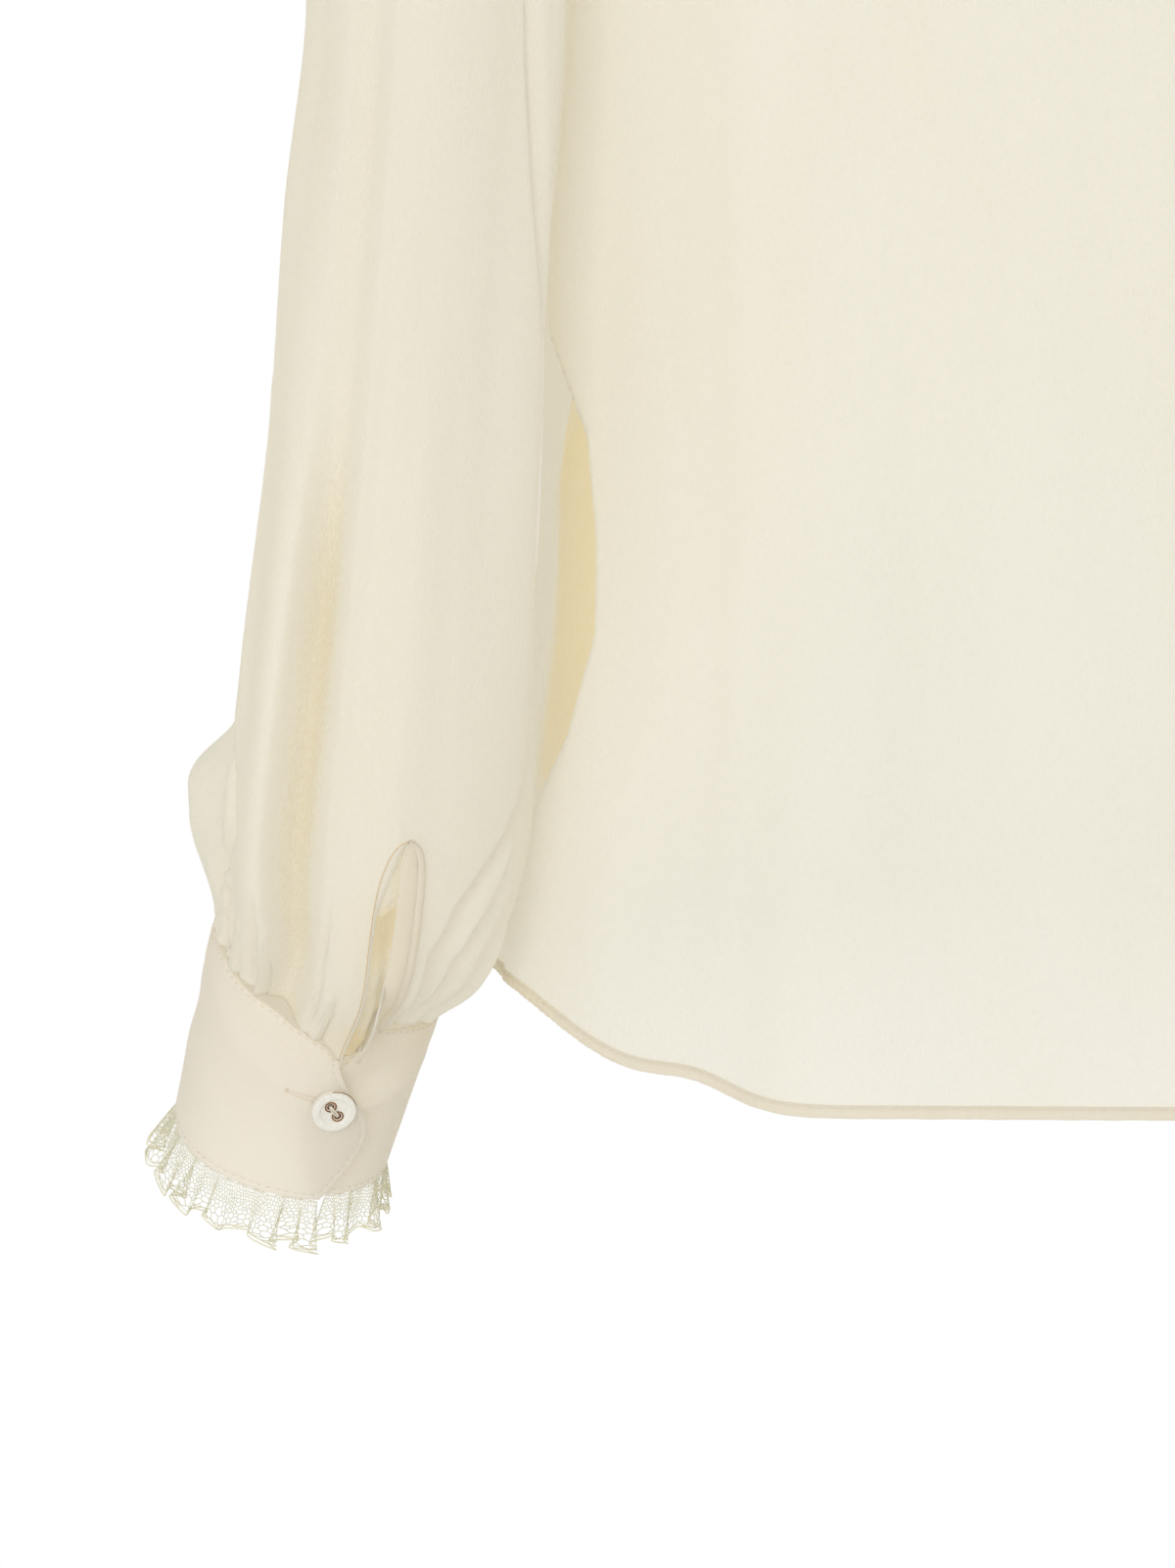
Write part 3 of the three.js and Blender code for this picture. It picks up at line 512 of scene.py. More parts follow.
class Nodes:
    """A node tree with short calls to add nodes and links."""

    def __init__(self, tree: bpy.types.NodeTree) -> None:
        """Keeps the tree."""
        self.tree = tree

    def add(self, kind: str, **values: object) -> bpy.types.Node:
        """Adds a node. Values set its properties."""
        node = self.tree.nodes.new(kind)
        for name, value in values.items():
            setattr(node, name, value)
        return node

    def feed(self, node: bpy.types.Node, **inputs: object) -> bpy.types.Node:
        """Links sockets to inputs, or sets their values. Underscores in names stand for spaces."""
        for name, value in inputs.items():
            socket = node.inputs[name.replace("_", " ")]
            if isinstance(value, NodeSocket):
                self.tree.links.new(value, socket)
            else:
                socket.default_value = value
        return node

    def math(self, operation: str, *values: object) -> NodeSocket:
        """A math node's result."""
        node = self.tree.nodes.new("ShaderNodeMath")
        node.operation = operation
        for i, value in enumerate(values):
            if isinstance(value, NodeSocket):
                self.tree.links.new(value, node.inputs[i])
            else:
                node.inputs[i].default_value = value
        return node.outputs[0]

    def scaled(self, vector: NodeSocket, scale: Place, turn: float = 0.0) -> NodeSocket:
        """A vector scaled, and turned in its plane, by a mapping node."""
        node = self.tree.nodes.new("ShaderNodeMapping")
        self.feed(node, Vector=vector, Scale=scale, Rotation=(0.0, 0.0, turn))
        return node.outputs[0]

    def noise(
        self, vector: NodeSocket, scale: float, detail: float, rough: float = 0.5
    ) -> NodeSocket:
        """A noise texture's value, around 0.5."""
        node = self.tree.nodes.new("ShaderNodeTexNoise")
        node.noise_dimensions = "2D"
        self.feed(node, Vector=vector, Scale=scale, Detail=detail, Roughness=rough)
        return node.outputs[0]

    def mixed(
        self, share: object, first: NodeSocket, second: NodeSocket
    ) -> NodeSocket:
        """Two shaders mixed, from all of the first at share 0 to all of the second at 1."""
        mix = self.add("ShaderNodeMixShader")
        self.feed(mix, Fac=share)
        self.tree.links.new(first, mix.inputs[1])
        self.tree.links.new(second, mix.inputs[2])
        return mix.outputs[0]

    def end(self, surface: NodeSocket, kind: str = "ShaderNodeOutputMaterial") -> None:
        """Adds the tree's output and feeds it."""
        self.feed(self.add(kind), Surface=surface)


def emptied(owner: Material | bpy.types.World) -> Nodes:
    """The nodes of a new material or world, with the default ones removed."""
    owner.use_nodes = True
    owner.node_tree.nodes.clear()
    return Nodes(owner.node_tree)


def crepe_grain() -> bpy.types.NodeTree:
    """The node group of crepe's face: its pebbled height, and a painted shade that follows it, lighter on the
    pebbles' crests, mixed with random patches.

    Returns:
        The group, made once. Its coordinates are metres on the cloth.
    """
    name = "crepe_grain"
    if name in bpy.data.node_groups:
        return bpy.data.node_groups[name]
    group = bpy.data.node_groups.new(name, "ShaderNodeTree")
    new_socket(group, "Vector", False, "NodeSocketVector")
    new_socket(group, "Pebble", False, "NodeSocketFloat", 1.0)
    new_socket(group, "Height", True, "NodeSocketFloat")
    new_socket(group, "Shade", True, "NodeSocketFloat")
    nodes = Nodes(group)
    start = nodes.add("NodeGroupInput")
    cloth = start.outputs["Vector"]
    pebbles = nodes.noise(nodes.scaled(cloth, (1250.0, 640.0, 1.0), 0.35), 1.0, 2.0, 0.55)
    crinkles = nodes.noise(nodes.scaled(cloth, (430.0, 120.0, 1.0)), 1.0, 2.0)
    weave = nodes.noise(nodes.scaled(cloth, (2600.0, 2600.0, 1.0)), 1.0, 1.0)
    rough = nodes.math("ADD", nodes.math("MULTIPLY", pebbles, 0.62), nodes.math("MULTIPLY", weave, 0.14))
    height = nodes.math("ADD", rough, nodes.math("MULTIPLY", crinkles, 0.3))
    height = nodes.math("MULTIPLY", height, start.outputs["Pebble"])
    patches = nodes.noise(nodes.scaled(cloth, (24.0, 9.0, 1.0)), 1.0, 2.0)
    # Painted shade: lighter where the pebbles rise, with random patches over it.
    shade = nodes.math("ADD", nodes.math("MULTIPLY", pebbles, 0.6), nodes.math("MULTIPLY", patches, 0.4))
    end = nodes.add("NodeGroupOutput")
    group.links.new(height, end.inputs["Height"])
    group.links.new(shade, end.inputs["Shade"])
    return group


@dataclass(frozen=True)
class CrepeFinish:
    """Thin crepe that lets light through. lit and deep are painted shade of the grain, lit on its crests and
    deep in its pits, with random patches; the third colour is painted shade in creases and recesses.
    """

    name: str
    lit: Colour
    deep: Colour
    through: Colour
    sheer: float
    # The colour of painted shade in creases and recesses.
    hollow: Colour = (0.96, 0.81, 0.5)
    pebble: float = 1.0
    relief: float = 0.09
    rough: float = 0.82

    def material(self) -> Material:
        """Builds the material: a matt face mixed with light that comes through the cloth."""
        made = bpy.data.materials.new(self.name)
        nodes = emptied(made)
        where = nodes.add("ShaderNodeUVMap", uv_map="cloth")
        grain = nodes.add("ShaderNodeGroup", node_tree=crepe_grain())
        nodes.feed(grain, Vector=where.outputs["UV"], Pebble=self.pebble)
        # Painted shade: the mesh's share of it moves the colour ramp towards the painted shade colour.
        hollow = nodes.add("ShaderNodeAttribute", attribute_name="hollow")
        sunk = nodes.math("MULTIPLY", hollow.outputs["Fac"], 0.55)
        ramp = nodes.add("ShaderNodeValToRGB")
        stops = ramp.color_ramp.elements
        stops[0].color = (*self.hollow, 1.0)
        stops[1].position = 0.62
        stops[1].color = (*self.lit, 1.0)
        stops.new(0.36).color = (*self.deep, 1.0)
        nodes.feed(ramp, Fac=nodes.math("SUBTRACT", grain.outputs["Shade"], sunk))
        relief = nodes.add("ShaderNodeBump")
        nodes.feed(relief, Strength=1.0, Distance=self.relief * MM, Height=grain.outputs["Height"])
        face = nodes.add("ShaderNodeBsdfPrincipled")
        nodes.feed(face, Base_Color=ramp.outputs["Color"], Roughness=self.rough)
        nodes.feed(face, Normal=relief.outputs["Normal"])
        nodes.feed(face, Specular_IOR_Level=0.22)
        glow = nodes.add("ShaderNodeBsdfTranslucent")
        nodes.feed(glow, Color=(*self.through, 1.0), Normal=relief.outputs["Normal"])
        nodes.end(nodes.mixed(self.sheer, face.outputs[0], glow.outputs[0]))
        return made


@dataclass(frozen=True)
class GlossFinish:
    """A smooth, softly shining finish with faint clouds in it, as on a button or a thread."""

    name: str
    light: Colour
    dark: Colour
    rough: float
    clouds: float = 500.0
    coat: float = 0.0

    def material(self) -> Material:
        """Builds the material."""
        made = bpy.data.materials.new(self.name)
        nodes = emptied(made)
        where = nodes.add("ShaderNodeTexCoord")
        clouds = nodes.add("ShaderNodeTexNoise")
        nodes.feed(clouds, Vector=where.outputs["Object"], Scale=self.clouds, Detail=3.0)
        ramp = nodes.add("ShaderNodeValToRGB")
        first, second = ramp.color_ramp.elements
        first.position, first.color = 0.35, (*self.dark, 1.0)
        second.position, second.color = 0.65, (*self.light, 1.0)
        nodes.feed(ramp, Fac=clouds.outputs[0])
        relief = nodes.add("ShaderNodeBump")
        nodes.feed(relief, Strength=0.25, Distance=0.05 * MM, Height=clouds.outputs[0])
        face = nodes.add("ShaderNodeBsdfPrincipled")
        nodes.feed(face, Base_Color=ramp.outputs["Color"], Roughness=self.rough)
        nodes.feed(face, Normal=relief.outputs["Normal"])
        nodes.feed(face, Coat_Weight=self.coat, Coat_Roughness=0.2)
        nodes.end(face.outputs[0])
        return made


@dataclass(frozen=True)
class NetFinish:
    """The lace's ground: fine threads round tiny meshes, closer at its root than at its edge."""

    name: str
    colour: Colour
    mesh_size: float = 0.7
    dense: float = 0.04
    open: float = 0.0
    depth: float = 13.5

    def material(self) -> Material:
        """Builds the material."""
        made = bpy.data.materials.new(self.name)
        nodes = emptied(made)
        where = nodes.add("ShaderNodeUVMap", uv_map="cloth")
        meshes = nodes.add("ShaderNodeTexVoronoi", voronoi_dimensions="2D", feature="DISTANCE_TO_EDGE")
        nodes.feed(meshes, Vector=where.outputs["UV"], Scale=1.0 / (self.mesh_size * MM), Randomness=0.7)
        parts = nodes.add("ShaderNodeSeparateXYZ")
        nodes.feed(parts, Vector=where.outputs["UV"])
        down = nodes.math("DIVIDE", parts.outputs["Y"], self.depth * MM)
        clouds = nodes.noise(nodes.scaled(where.outputs["UV"], (260.0, 200.0, 1.0)), 1.0, 2.0)
        spread = nodes.add("ShaderNodeMapRange")
        shaded = nodes.math("ADD", down, nodes.math("MULTIPLY", nodes.math("SUBTRACT", clouds, 0.5), 0.9))
        nodes.feed(spread, Value=shaded, From_Min=0.2, From_Max=0.85, To_Min=self.dense, To_Max=self.open)
        thread = nodes.math("LESS_THAN", meshes.outputs["Distance"], spread.outputs["Result"])
        face = nodes.add("ShaderNodeBsdfPrincipled")
        nodes.feed(face, Base_Color=(*self.colour, 1.0), Roughness=0.8, Alpha=thread, Specular_IOR_Level=0.2)
        nodes.end(face.outputs[0])
        return made


CREPE = CrepeFinish(
    "cream_crepe", (0.97, 0.95, 0.885), (0.95, 0.922, 0.84), (0.975, 0.94, 0.845), 0.52, relief=0.3
)
# Painted shade colours: golden in the body's recesses, a darker tan in the sleeve's trough.
BODY_CREPE = replace(CREPE, name="body_crepe", hollow=(0.99, 0.82, 0.42))
SLEEVE_CREPE = replace(CREPE, name="sleeve_crepe", hollow=(0.83, 0.73, 0.54))
CUFF_CREPE = CrepeFinish(
    "pressed_double_crepe", (0.985, 0.96, 0.9), (0.968, 0.935, 0.865), (0.98, 0.94, 0.86), 0.52,
    pebble=0.6, relief=0.2,
)
HEM_CREPE = CrepeFinish(
    "turned_hem_crepe", (0.965, 0.93, 0.845), (0.94, 0.895, 0.8), (0.96, 0.915, 0.82), 0.5, pebble=1.6
)
FACING = CrepeFinish(
    "facing_crepe", (0.99, 0.962, 0.89), (0.98, 0.945, 0.865), (0.985, 0.945, 0.86), 0.58,
    pebble=0.8, relief=0.15,
)
LACE = CrepeFinish(
    "ivory_lace", (0.985, 0.97, 0.85), (0.965, 0.945, 0.8), (0.985, 0.965, 0.84), 0.62,
    pebble=0.5, relief=0.03,
)
GROUND = NetFinish("lace_ground", (0.97, 0.95, 0.83))
BUTTON = GlossFinish("milky_button", (0.9, 0.87, 0.79), (0.84, 0.8, 0.71), 0.4, 900.0, 0.15)
# Dark brown: the walls and rims of the button's holes, and a painted shadow line along its rim.
HOLE_RIM_AND_SHADOW = GlossFinish("button_hole_rim_and_shadow_line", (0.3, 0.13, 0.02), (0.16, 0.06, 0.01), 0.9)
# Brownish: the facing's stitch thread, and a painted shadow line along the slit's arch.
SEAM_THREAD_AND_SHADOW = GlossFinish("seam_thread_and_shadow_line", (0.82, 0.64, 0.4), (0.66, 0.46, 0.24), 0.7, 2500.0)
WORKED = GlossFinish("buttonhole_thread", (0.88, 0.77, 0.63), (0.78, 0.63, 0.47), 0.7, 1500.0)
THREAD = GlossFinish("cream_thread", (0.86, 0.8, 0.68), (0.72, 0.62, 0.48), 0.6, 2500.0)


# ---- Body --------------------------------------------------------------------------------------


@dataclass(frozen=True)
class BodyShape:
    """The worn form of the body, the same as the solids' apart from the hem's lift and kink."""

    neck_half_width: float = 92.0
    neck_drops: tuple[float, float] = (26.0, 104.0)
    neck_curve: float = 2.4
    shoulder_half_width: float = 190.0
    shoulder_drop: float = 42.0
    shoulder_curve: float = 1.15
    underarm_z: float = -215.0
    underarm_half_width: float = 222.0
    hem_side: float = -590.0
    hem_centres: tuple[float, float] = (-634.0, -574.0)
    hem_side_curve: float = 0.42
    armhole_x: float = 174.0
    armhole_depths: tuple[float, float] = (54.0, 60.0)
    armhole_curves: tuple[float, float] = (1.5, 2.2)
    across_power: float = 2.4
    chest: tuple[float, float] = (125.0, 170.0)
    hem_shares: tuple[float, float] = (0.45, 0.64)
    hem_lift: float = 2.6
    hem_kink: float = 7.0
    hem_kink_share: float = 0.645
    hem_kink_width: float = 0.068
    chest_crowd: float = 1.5
    spread: float = 2.0
    inset: float = 0.5
    inset_curve: float = 0.7
    top_rows: float = 0.2
    settle: float = 115.0
    neck_lines: int = 7
    shoulder_lines: int = 3
    armhole_lines: int = 9
    sections: Table = Table(
        "z turn half_width seam_forward back front",
        (0, 1.2, 222, 0, 50, 48),
        (-45, 1.2, 222, 0, 68, 68),
        (-100, 1.2, 222, 0, 90, 94),
        (-150, 1.25, 222, 0, 101, 110),
        (-215, 1.6, 222, 0, 105, 116),
        (-300, 2, 226, 5, 101, 111),
        (-400, 2, 228, 12, 97, 106),
        (-480, 2, 230, 18, 98, 104),
        (-590, 2, 238, 25, 103, 104),
        (-640, 2, 241, 26, 105, 104),
    )

    @property
    def lines(self) -> int:
        """How many lines run down one half of a panel."""
        return self.neck_lines + self.shoulder_lines + self.armhole_lines

    def pick(self, pair: tuple[float, float], panel: Panel) -> float:
        """The back's or the front's value of a pair."""
        return pair[0] if panel is Panel.BACK else pair[1]

    @property
    def armhole_height(self) -> tuple[float, float]:
        """The height of an armhole's middle, and half the armhole's own height."""
        return (self.underarm_z - self.shoulder_drop) / 2.0, -(self.underarm_z + self.shoulder_drop) / 2.0

    def armhole(self, angle: Array, panel: Panel) -> Array:
        """Points of an armhole's edge at angles from the shoulder point (0) to the underarm (180)."""
        up = np.cos(np.radians(angle))
        middle, half_height = self.armhole_height
        above, below = np.maximum(up, 0.0), np.maximum(-up, 0.0)
        at_shoulder = (self.shoulder_half_width - self.armhole_x) * above ** self.armhole_curves[0]
        at_underarm = (self.underarm_half_width - self.armhole_x) * below ** self.armhole_curves[1]
        depth = panel.value * self.pick(self.armhole_depths, panel) * np.sin(np.radians(angle))
        x = self.armhole_x + at_shoulder + at_underarm
        return np.stack([x, depth, middle + half_height * up], axis=-1)

    def section_edge(self, z: Array, panel: Panel) -> tuple[Array, Array]:
        """Where a section of half a panel ends: the shoulder line, the armhole or the side seam."""
        on_shoulder = np.clip(-z / self.shoulder_drop, 0.0, 1.0) ** (1.0 / self.shoulder_curve)
        shoulder_x = lerp(self.neck_half_width, self.shoulder_half_width, on_shoulder)
        middle, half_height = self.armhole_height
        angle = np.degrees(np.arccos(np.clip((z - middle) / half_height, -1.0, 1.0)))
        edge = self.armhole(angle, panel)
        seam = -panel.value * self.sections.read("seam_forward", z)
        above, below = z > -self.shoulder_drop, z <= self.underarm_z
        side_x = np.where(below, self.sections.read("half_width", z), edge[..., 0])
        x = np.where(above, shoulder_x, side_x)
        y = np.where(above, 0.0, np.where(below, seam, np.abs(edge[..., 1])))
        return x, y

    def angle_by_length(self, share: Array) -> Array:
        """The angle along a section, from the centre to the side seam, by share of its length."""
        angles = np.linspace(0.0, np.pi / 2.0, 241)
        x = self.sections.columns["half_width"][0] * np.sin(angles) ** (2.0 / self.across_power)
        y = self.sections.columns["back"][0] * np.cos(angles)
        lengths = lengths_along(np.stack([x, y], axis=1))
        return np.interp(share, lengths / lengths[-1], angles)

    def columns(self, line: Array, panel: Panel) -> dict[str, Array]:
        """Where lines of half a panel start, and their shares of its width at the chest and the hem.

        Args:
            line: Line numbers, whole or between, from 0 at the centre to lines at the side seam.
            panel: The front or the back.

        Returns:
            top_x, top_z, chest_x and hem_share, each as long as line.
        """
        neck = np.clip(line / self.neck_lines, 0.0, 1.0)
        shoulder = np.clip((line - self.neck_lines) / self.shoulder_lines, 0.0, 1.0)
        armhole = np.clip((line - self.neck_lines - self.shoulder_lines) / self.armhole_lines, 0.0, 1.0)
        across = np.sin(neck * np.pi / 2.0)
        edge = self.armhole(180.0 * armhole, panel)
        in_neck = line < self.neck_lines
        in_armhole = line >= self.neck_lines + self.shoulder_lines
        on_shoulder = lerp(self.neck_half_width, self.shoulder_half_width, shoulder)
        top_x = np.where(in_neck, self.neck_half_width * across, on_shoulder)
        neck_z = -self.pick(self.neck_drops, panel) * (1.0 - across**self.neck_curve)
        top_z = np.where(in_neck, neck_z, -self.shoulder_drop * shoulder**self.shoulder_curve)
        crowd = armhole**self.chest_crowd
        chest_x = self.chest[0] * neck + (self.chest[1] - self.chest[0]) * shoulder
        chest_x = chest_x + (self.underarm_half_width - self.chest[1]) * crowd
        hem_share = self.hem_shares[0] * neck + (self.hem_shares[1] - self.hem_shares[0]) * shoulder
        hem_share = hem_share + (1.0 - self.hem_shares[1]) * armhole
        return {
            "top_x": np.where(in_armhole, edge[..., 0], top_x),
            "top_z": np.where(in_armhole, edge[..., 2], top_z),
            "chest_x": chest_x,
            "hem_share": hem_share,
        }

    def hem_height(self, panel: Panel, share: Array) -> Array:
        """The hem's height at shares of the panel's half width."""
        tail = smoothstep(1.0 - np.abs(share), 0.0, self.hem_side_curve)
        if panel is Panel.FRONT:
            return lerp(self.hem_side, self.hem_centres[1], 1.0 - share**2)
        kink = self.hem_kink * np.exp(-(((share - self.hem_kink_share) / self.hem_kink_width) ** 2))
        return lerp(self.hem_side, self.hem_centres[0] + self.hem_lift, tail) + kink

    def points(self, panel: Panel, line: Array, down: Array, folds: Sequence[Fold | Crease]) -> Array:
        """Points of a panel.

        Args:
            panel: The front or the back.
            line: Signed line numbers, positive on the wearer's left.
            down: Shares of the way from the top edge (0) to the hem (1).
            folds: The folds that shape the cloth.

        Returns:
            Points in millimetres, in the shape that line and down make together.
        """
        line, down = np.broadcast_arrays(line, down)
        side = np.where(line < 0.0, -1.0, 1.0)
        column = self.columns(np.abs(line), panel)
        hem_z = self.hem_height(panel, column["hem_share"])
        z = lerp(column["top_z"], hem_z, down * lerp(self.top_rows, 1.0, down))
        edge_x, edge_y = self.section_edge(z, panel)
        depth = self.sections.read(panel.name.lower(), z)
        up = np.clip((z - self.underarm_z) / np.maximum(column["top_z"] - self.underarm_z, 1e-3), 0.0, 1.0)
        inset = self.inset * (1.0 - column["hem_share"]) * (1.0 - up) ** self.inset_curve
        free = lerp(column["chest_x"], column["top_x"], up**self.spread) / edge_x
        on_edge = (down == 0.0) & (column["top_x"] >= self.neck_half_width)
        above = np.where(on_edge, 1.0, np.minimum(free, 1.0 - inset))
        chest = np.clip(column["chest_x"] / self.underarm_half_width, 0.0, 1.0)
        chest_angle = np.arcsin(chest ** (self.across_power / 2.0))
        settled = smoothstep(self.underarm_z - z, 0.0, self.settle)
        angle = lerp(chest_angle, self.angle_by_length(column["hem_share"]), settled)
        below = np.minimum(np.sin(angle) ** (2.0 / self.across_power), 1.0 - inset * (1.0 - settled))
        across = np.clip(np.where(z > self.underarm_z, above, below), 0.0, 1.0)
        back = (1.0 - across**self.across_power) ** (1.0 / self.sections.read("turn", z))
        normal = unit(np.stack([side * across ** (self.across_power - 1.0) / edge_x, back / depth], axis=-1))
        around = side * column["hem_share"]
        out = sum(fold.lift(around, -z) for fold in folds)
        x = side * edge_x * across + normal[..., 0] * out
        y = panel.value * (edge_y + (depth - edge_y) * back + normal[..., 1] * out)
        return np.stack([x, y, z], axis=-1)


BODY = BodyShape()

# Folds of the back: across by share of its half width, along by drop from the shoulder line.
BACK_FOLDS = (
    Fold(0.93, 0.95, 0.055, -13.0, 240, 560),
    Fold(0.83, 0.84, 0.06, 6.0, 230, 570),
    Fold(0.71, 0.7, 0.045, -3.5, 250, 660),
    Fold(0.6, 0.62, 0.06, 4.0, 190, 480),
    Fold(0.5, 0.52, 0.07, 5.0, 430, 700),
    Fold(0.38, 0.4, 0.08, -4.0, 380, 680),
    Fold(0.14, 0.1, 0.1, 4.0, 260, 700),
    Fold(-0.16, -0.2, 0.09, -4.0, 300, 700),
    Fold(-0.36, -0.4, 0.08, 5.0, 360, 700),
    Fold(-0.58, -0.6, 0.06, -4.5, 220, 650),
    Fold(-0.82, -0.83, 0.06, 6.0, 230, 600),
    Fold(-0.93, -0.94, 0.055, -11.0, 250, 570),
)
FRONT_FOLDS = (
    Fold(0.9, 0.9, 0.06, -9.0, 250, 590),
    Fold(0.78, 0.76, 0.07, 6.0, 230, 650),
    Fold(0.5, 0.56, 0.08, -5.0, 260, 650),
    Fold(0.3, 0.34, 0.09, 6.0, 240, 680),
    Fold(0.05, 0.06, 0.1, -5.0, 260, 680),
    Fold(-0.22, -0.27, 0.09, 6.0, 230, 680),
    Fold(-0.47, -0.5, 0.08, -5.0, 260, 650),
    Fold(-0.74, -0.73, 0.07, 6.0, 240, 650),
    Fold(-0.9, -0.91, 0.06, -9.0, 250, 590),
)
# Creases that the solids don't have. The long bent ones make the layers at the sides.
BACK_CREASES = (
    Crease(
        (
            (330, 0.85), (385, 0.85), (414, 0.83), (442, 0.785), (470, 0.775), (498, 0.775), (525, 0.8),
            (560, 0.87), (610, 0.93),
        ),
        0.1, 0.014, 8.0, 0.25,
    ),
    Crease(
        (
            (340, 0.88), (385, 0.88), (414, 0.86), (442, 0.815), (470, 0.805), (498, 0.805), (525, 0.83),
            (560, 0.9),
        ),
        0.02, 0.11, -9.0, 0.25,
    ),
    Crease(((430, 0.83), (455, 0.87), (475, 0.92)), 0.018, 0.02, 2.2),
    Crease(
        ((380, -0.85), (420, -0.82), (470, -0.78), (520, -0.77), (560, -0.81), (600, -0.88)),
        0.014, 0.1, 6.0, 0.25,
    ),
    Crease(
        ((380, -0.88), (420, -0.85), (470, -0.81), (520, -0.8), (560, -0.84), (590, -0.9)),
        0.11, 0.02, -7.0, 0.25,
    ),
    Fold(0.77, 0.78, 0.02, 1.2, 260, 470),
    Fold(0.66, 0.655, 0.018, -1.0, 300, 640),
    Fold(0.55, 0.56, 0.025, 1.1, 420, 690),
    Fold(0.45, 0.44, 0.022, -0.9, 330, 600),
    Fold(0.3, 0.31, 0.03, 1.2, 260, 560),
    Fold(0.22, 0.2, 0.02, -0.8, 420, 690),
    Fold(0.04, 0.05, 0.03, 1.0, 200, 520),
    Fold(-0.08, -0.07, 0.022, -0.9, 380, 690),
    Fold(-0.27, -0.28, 0.03, 1.2, 240, 600),
    Fold(-0.47, -0.49, 0.02, -0.9, 300, 660),
    Fold(-0.66, -0.68, 0.024, 1.2, 260, 640),
    Fold(-0.75, -0.76, 0.018, -1.0, 260, 520),
)
FRONT_CREASES = (
    Fold(0.68, 0.66, 0.02, 1.2, 260, 600),
    Fold(0.58, 0.6, 0.02, -1.0, 330, 640),
    Fold(0.4, 0.42, 0.025, 1.2, 300, 560),
    Fold(0.16, 0.18, 0.022, -1.0, 420, 660),
    Fold(-0.05, -0.06, 0.03, 1.2, 260, 600),
    Fold(-0.15, -0.14, 0.02, -0.8, 380, 660),
    Fold(-0.36, -0.35, 0.025, 1.2, 260, 560),
    Fold(-0.6, -0.62, 0.02, -1.0, 300, 640),
)


@dataclass
class BodyPanel:
    """The front or the back: one sheet with a narrow stitched hem."""

    panel: Panel
    lines_between: int = 10
    rows: int = 220
    hem_height: float = 3.7
    hem_wall: float = 0.95
    crowded: float = 0.74
    crowding: float = 0.55
    # The inward move, in millimetres, at which a crease's painted shade is full.
    full_shade_sink: float = 4.5
    easing_reach: float = 45.0
    easing_steps: int = 80
    folds: tuple[Fold, ...] = ()
    creases: tuple[Fold | Crease, ...] = ()

    def lines(self) -> Array:
        """Signed line numbers of the fine grid, from right to left, closer where the sides fold."""
        share = np.linspace(0.0, 1.0, BODY.lines * self.lines_between + 1)
        turn = 2.0 * np.pi
        eased = np.sin(turn * (share - self.crowded + 0.5)) + np.sin(turn * (self.crowded - 0.5))
        half = BODY.lines * (share + self.crowding * eased / turn)
        return np.concatenate([-half[:0:-1], half])

    def grid(self) -> Array:
        """The panel's fine grid of points, from the top edge down."""
        down = np.linspace(0.0, 1.0, self.rows + 1)[:, None]
        grid = BODY.points(self.panel, self.lines()[None], down, (*self.folds, *self.creases))
        near = bump(grid[..., 2] - BODY.underarm_z, self.easing_reach)[1:-1, :, None]
        near[:, [0, -1]] = 0.0
        for _ in range(self.easing_steps):
            grid[1:-1] += near * (grid[:-2] + grid[2:] - 2.0 * grid[1:-1]) / 4.0
        return grid

    def cloth_uv(self, grid: Array) -> Array:
        """Cloth coordinates of the grid: lengths across at the hem, and drops down the lines."""
        across = lengths_along(grid[-1])
        steps = np.linalg.norm(np.diff(grid, axis=0), axis=2)
        down = np.concatenate([np.zeros((1, grid.shape[1])), np.cumsum(steps, axis=0)])
        top = -grid[0, :, 2]
        return paired(across[None], down + top)

    def hem(self, grid: Array, material: Material) -> list[Object]:
        """The hem: the edge turned twice and stitched, a little puckered.

        Args:
            grid: The panel's fine grid.
            material: The finish of the turned cloth and of its stitches.

        Returns:
            The hem's roll, and its row of stitches.
        """
        path = grid[-1]
        normal = self.panel.value * normals_of(grid[-12:])[-1]
        up = unit(off_plane(grid[-6] - grid[-1], normal))
        lengths = lengths_along(path)
        pucker = 0.16 * np.sin(lengths * 2.1 + 1.3 * np.sin(lengths * 0.23)) + 0.1 * np.sin(lengths * 0.61)
        half = self.hem_wall / 2.0
        high = self.hem_height
        face = np.array([(high, 0.1), (high - 0.25, half), (0.5, half), (0.0, half * 0.5)])
        section = np.concatenate([face, face[::-1] * (1.0, -1.0)])
        sections = np.repeat(section[None], len(path), axis=0)
        sections[..., 1] *= (1.0 + 0.9 * pucker)[:, None]
        sections[:, 2:6, 0] -= 0.5 * pucker[:, None]
        roll = Cloth()
        roll.add_sweep(path, up, normal, sections)
        stitched = Cloth()
        row = path + up * (high - 0.9) + normal * half
        stitched.add_stitches(row[2:-2], normal[2:-2], length=2.1, gap=0.8)
        name = self.panel.name.lower()
        return [
            roll.piece(f"{name}_hem", material, "crepe"),
            stitched.piece(f"{name}_hem_stitches", material, "crepe"),
        ]

    def build(self, materials: Materials) -> None:
        """Builds the sheet and its hem in place of the solid."""
        grid = self.grid()
        sheet = Cloth()
        uv = self.cloth_uv(grid)
        around = np.sign(self.lines()) * BODY.columns(np.abs(self.lines()), self.panel)["hem_share"]
        around = np.broadcast_to(around, grid.shape[:2])
        # Painted shade in the creases that move the cloth in, the recess beside the sleeve most of all.
        sunk = sum(crease.lift(around, -grid[..., 2]) for crease in self.creases)
        depth = painted_shade_of(sunk, 1.0, self.full_shade_sink)
        sheet.add_grid(grid, uv, self.panel.value, depth=depth)
        made = sheet.piece(f"{self.panel.name.lower()}_cloth", materials["body"], "crepe")
        hem = self.hem(grid, materials["hem"])
        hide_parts(self.panel.node)


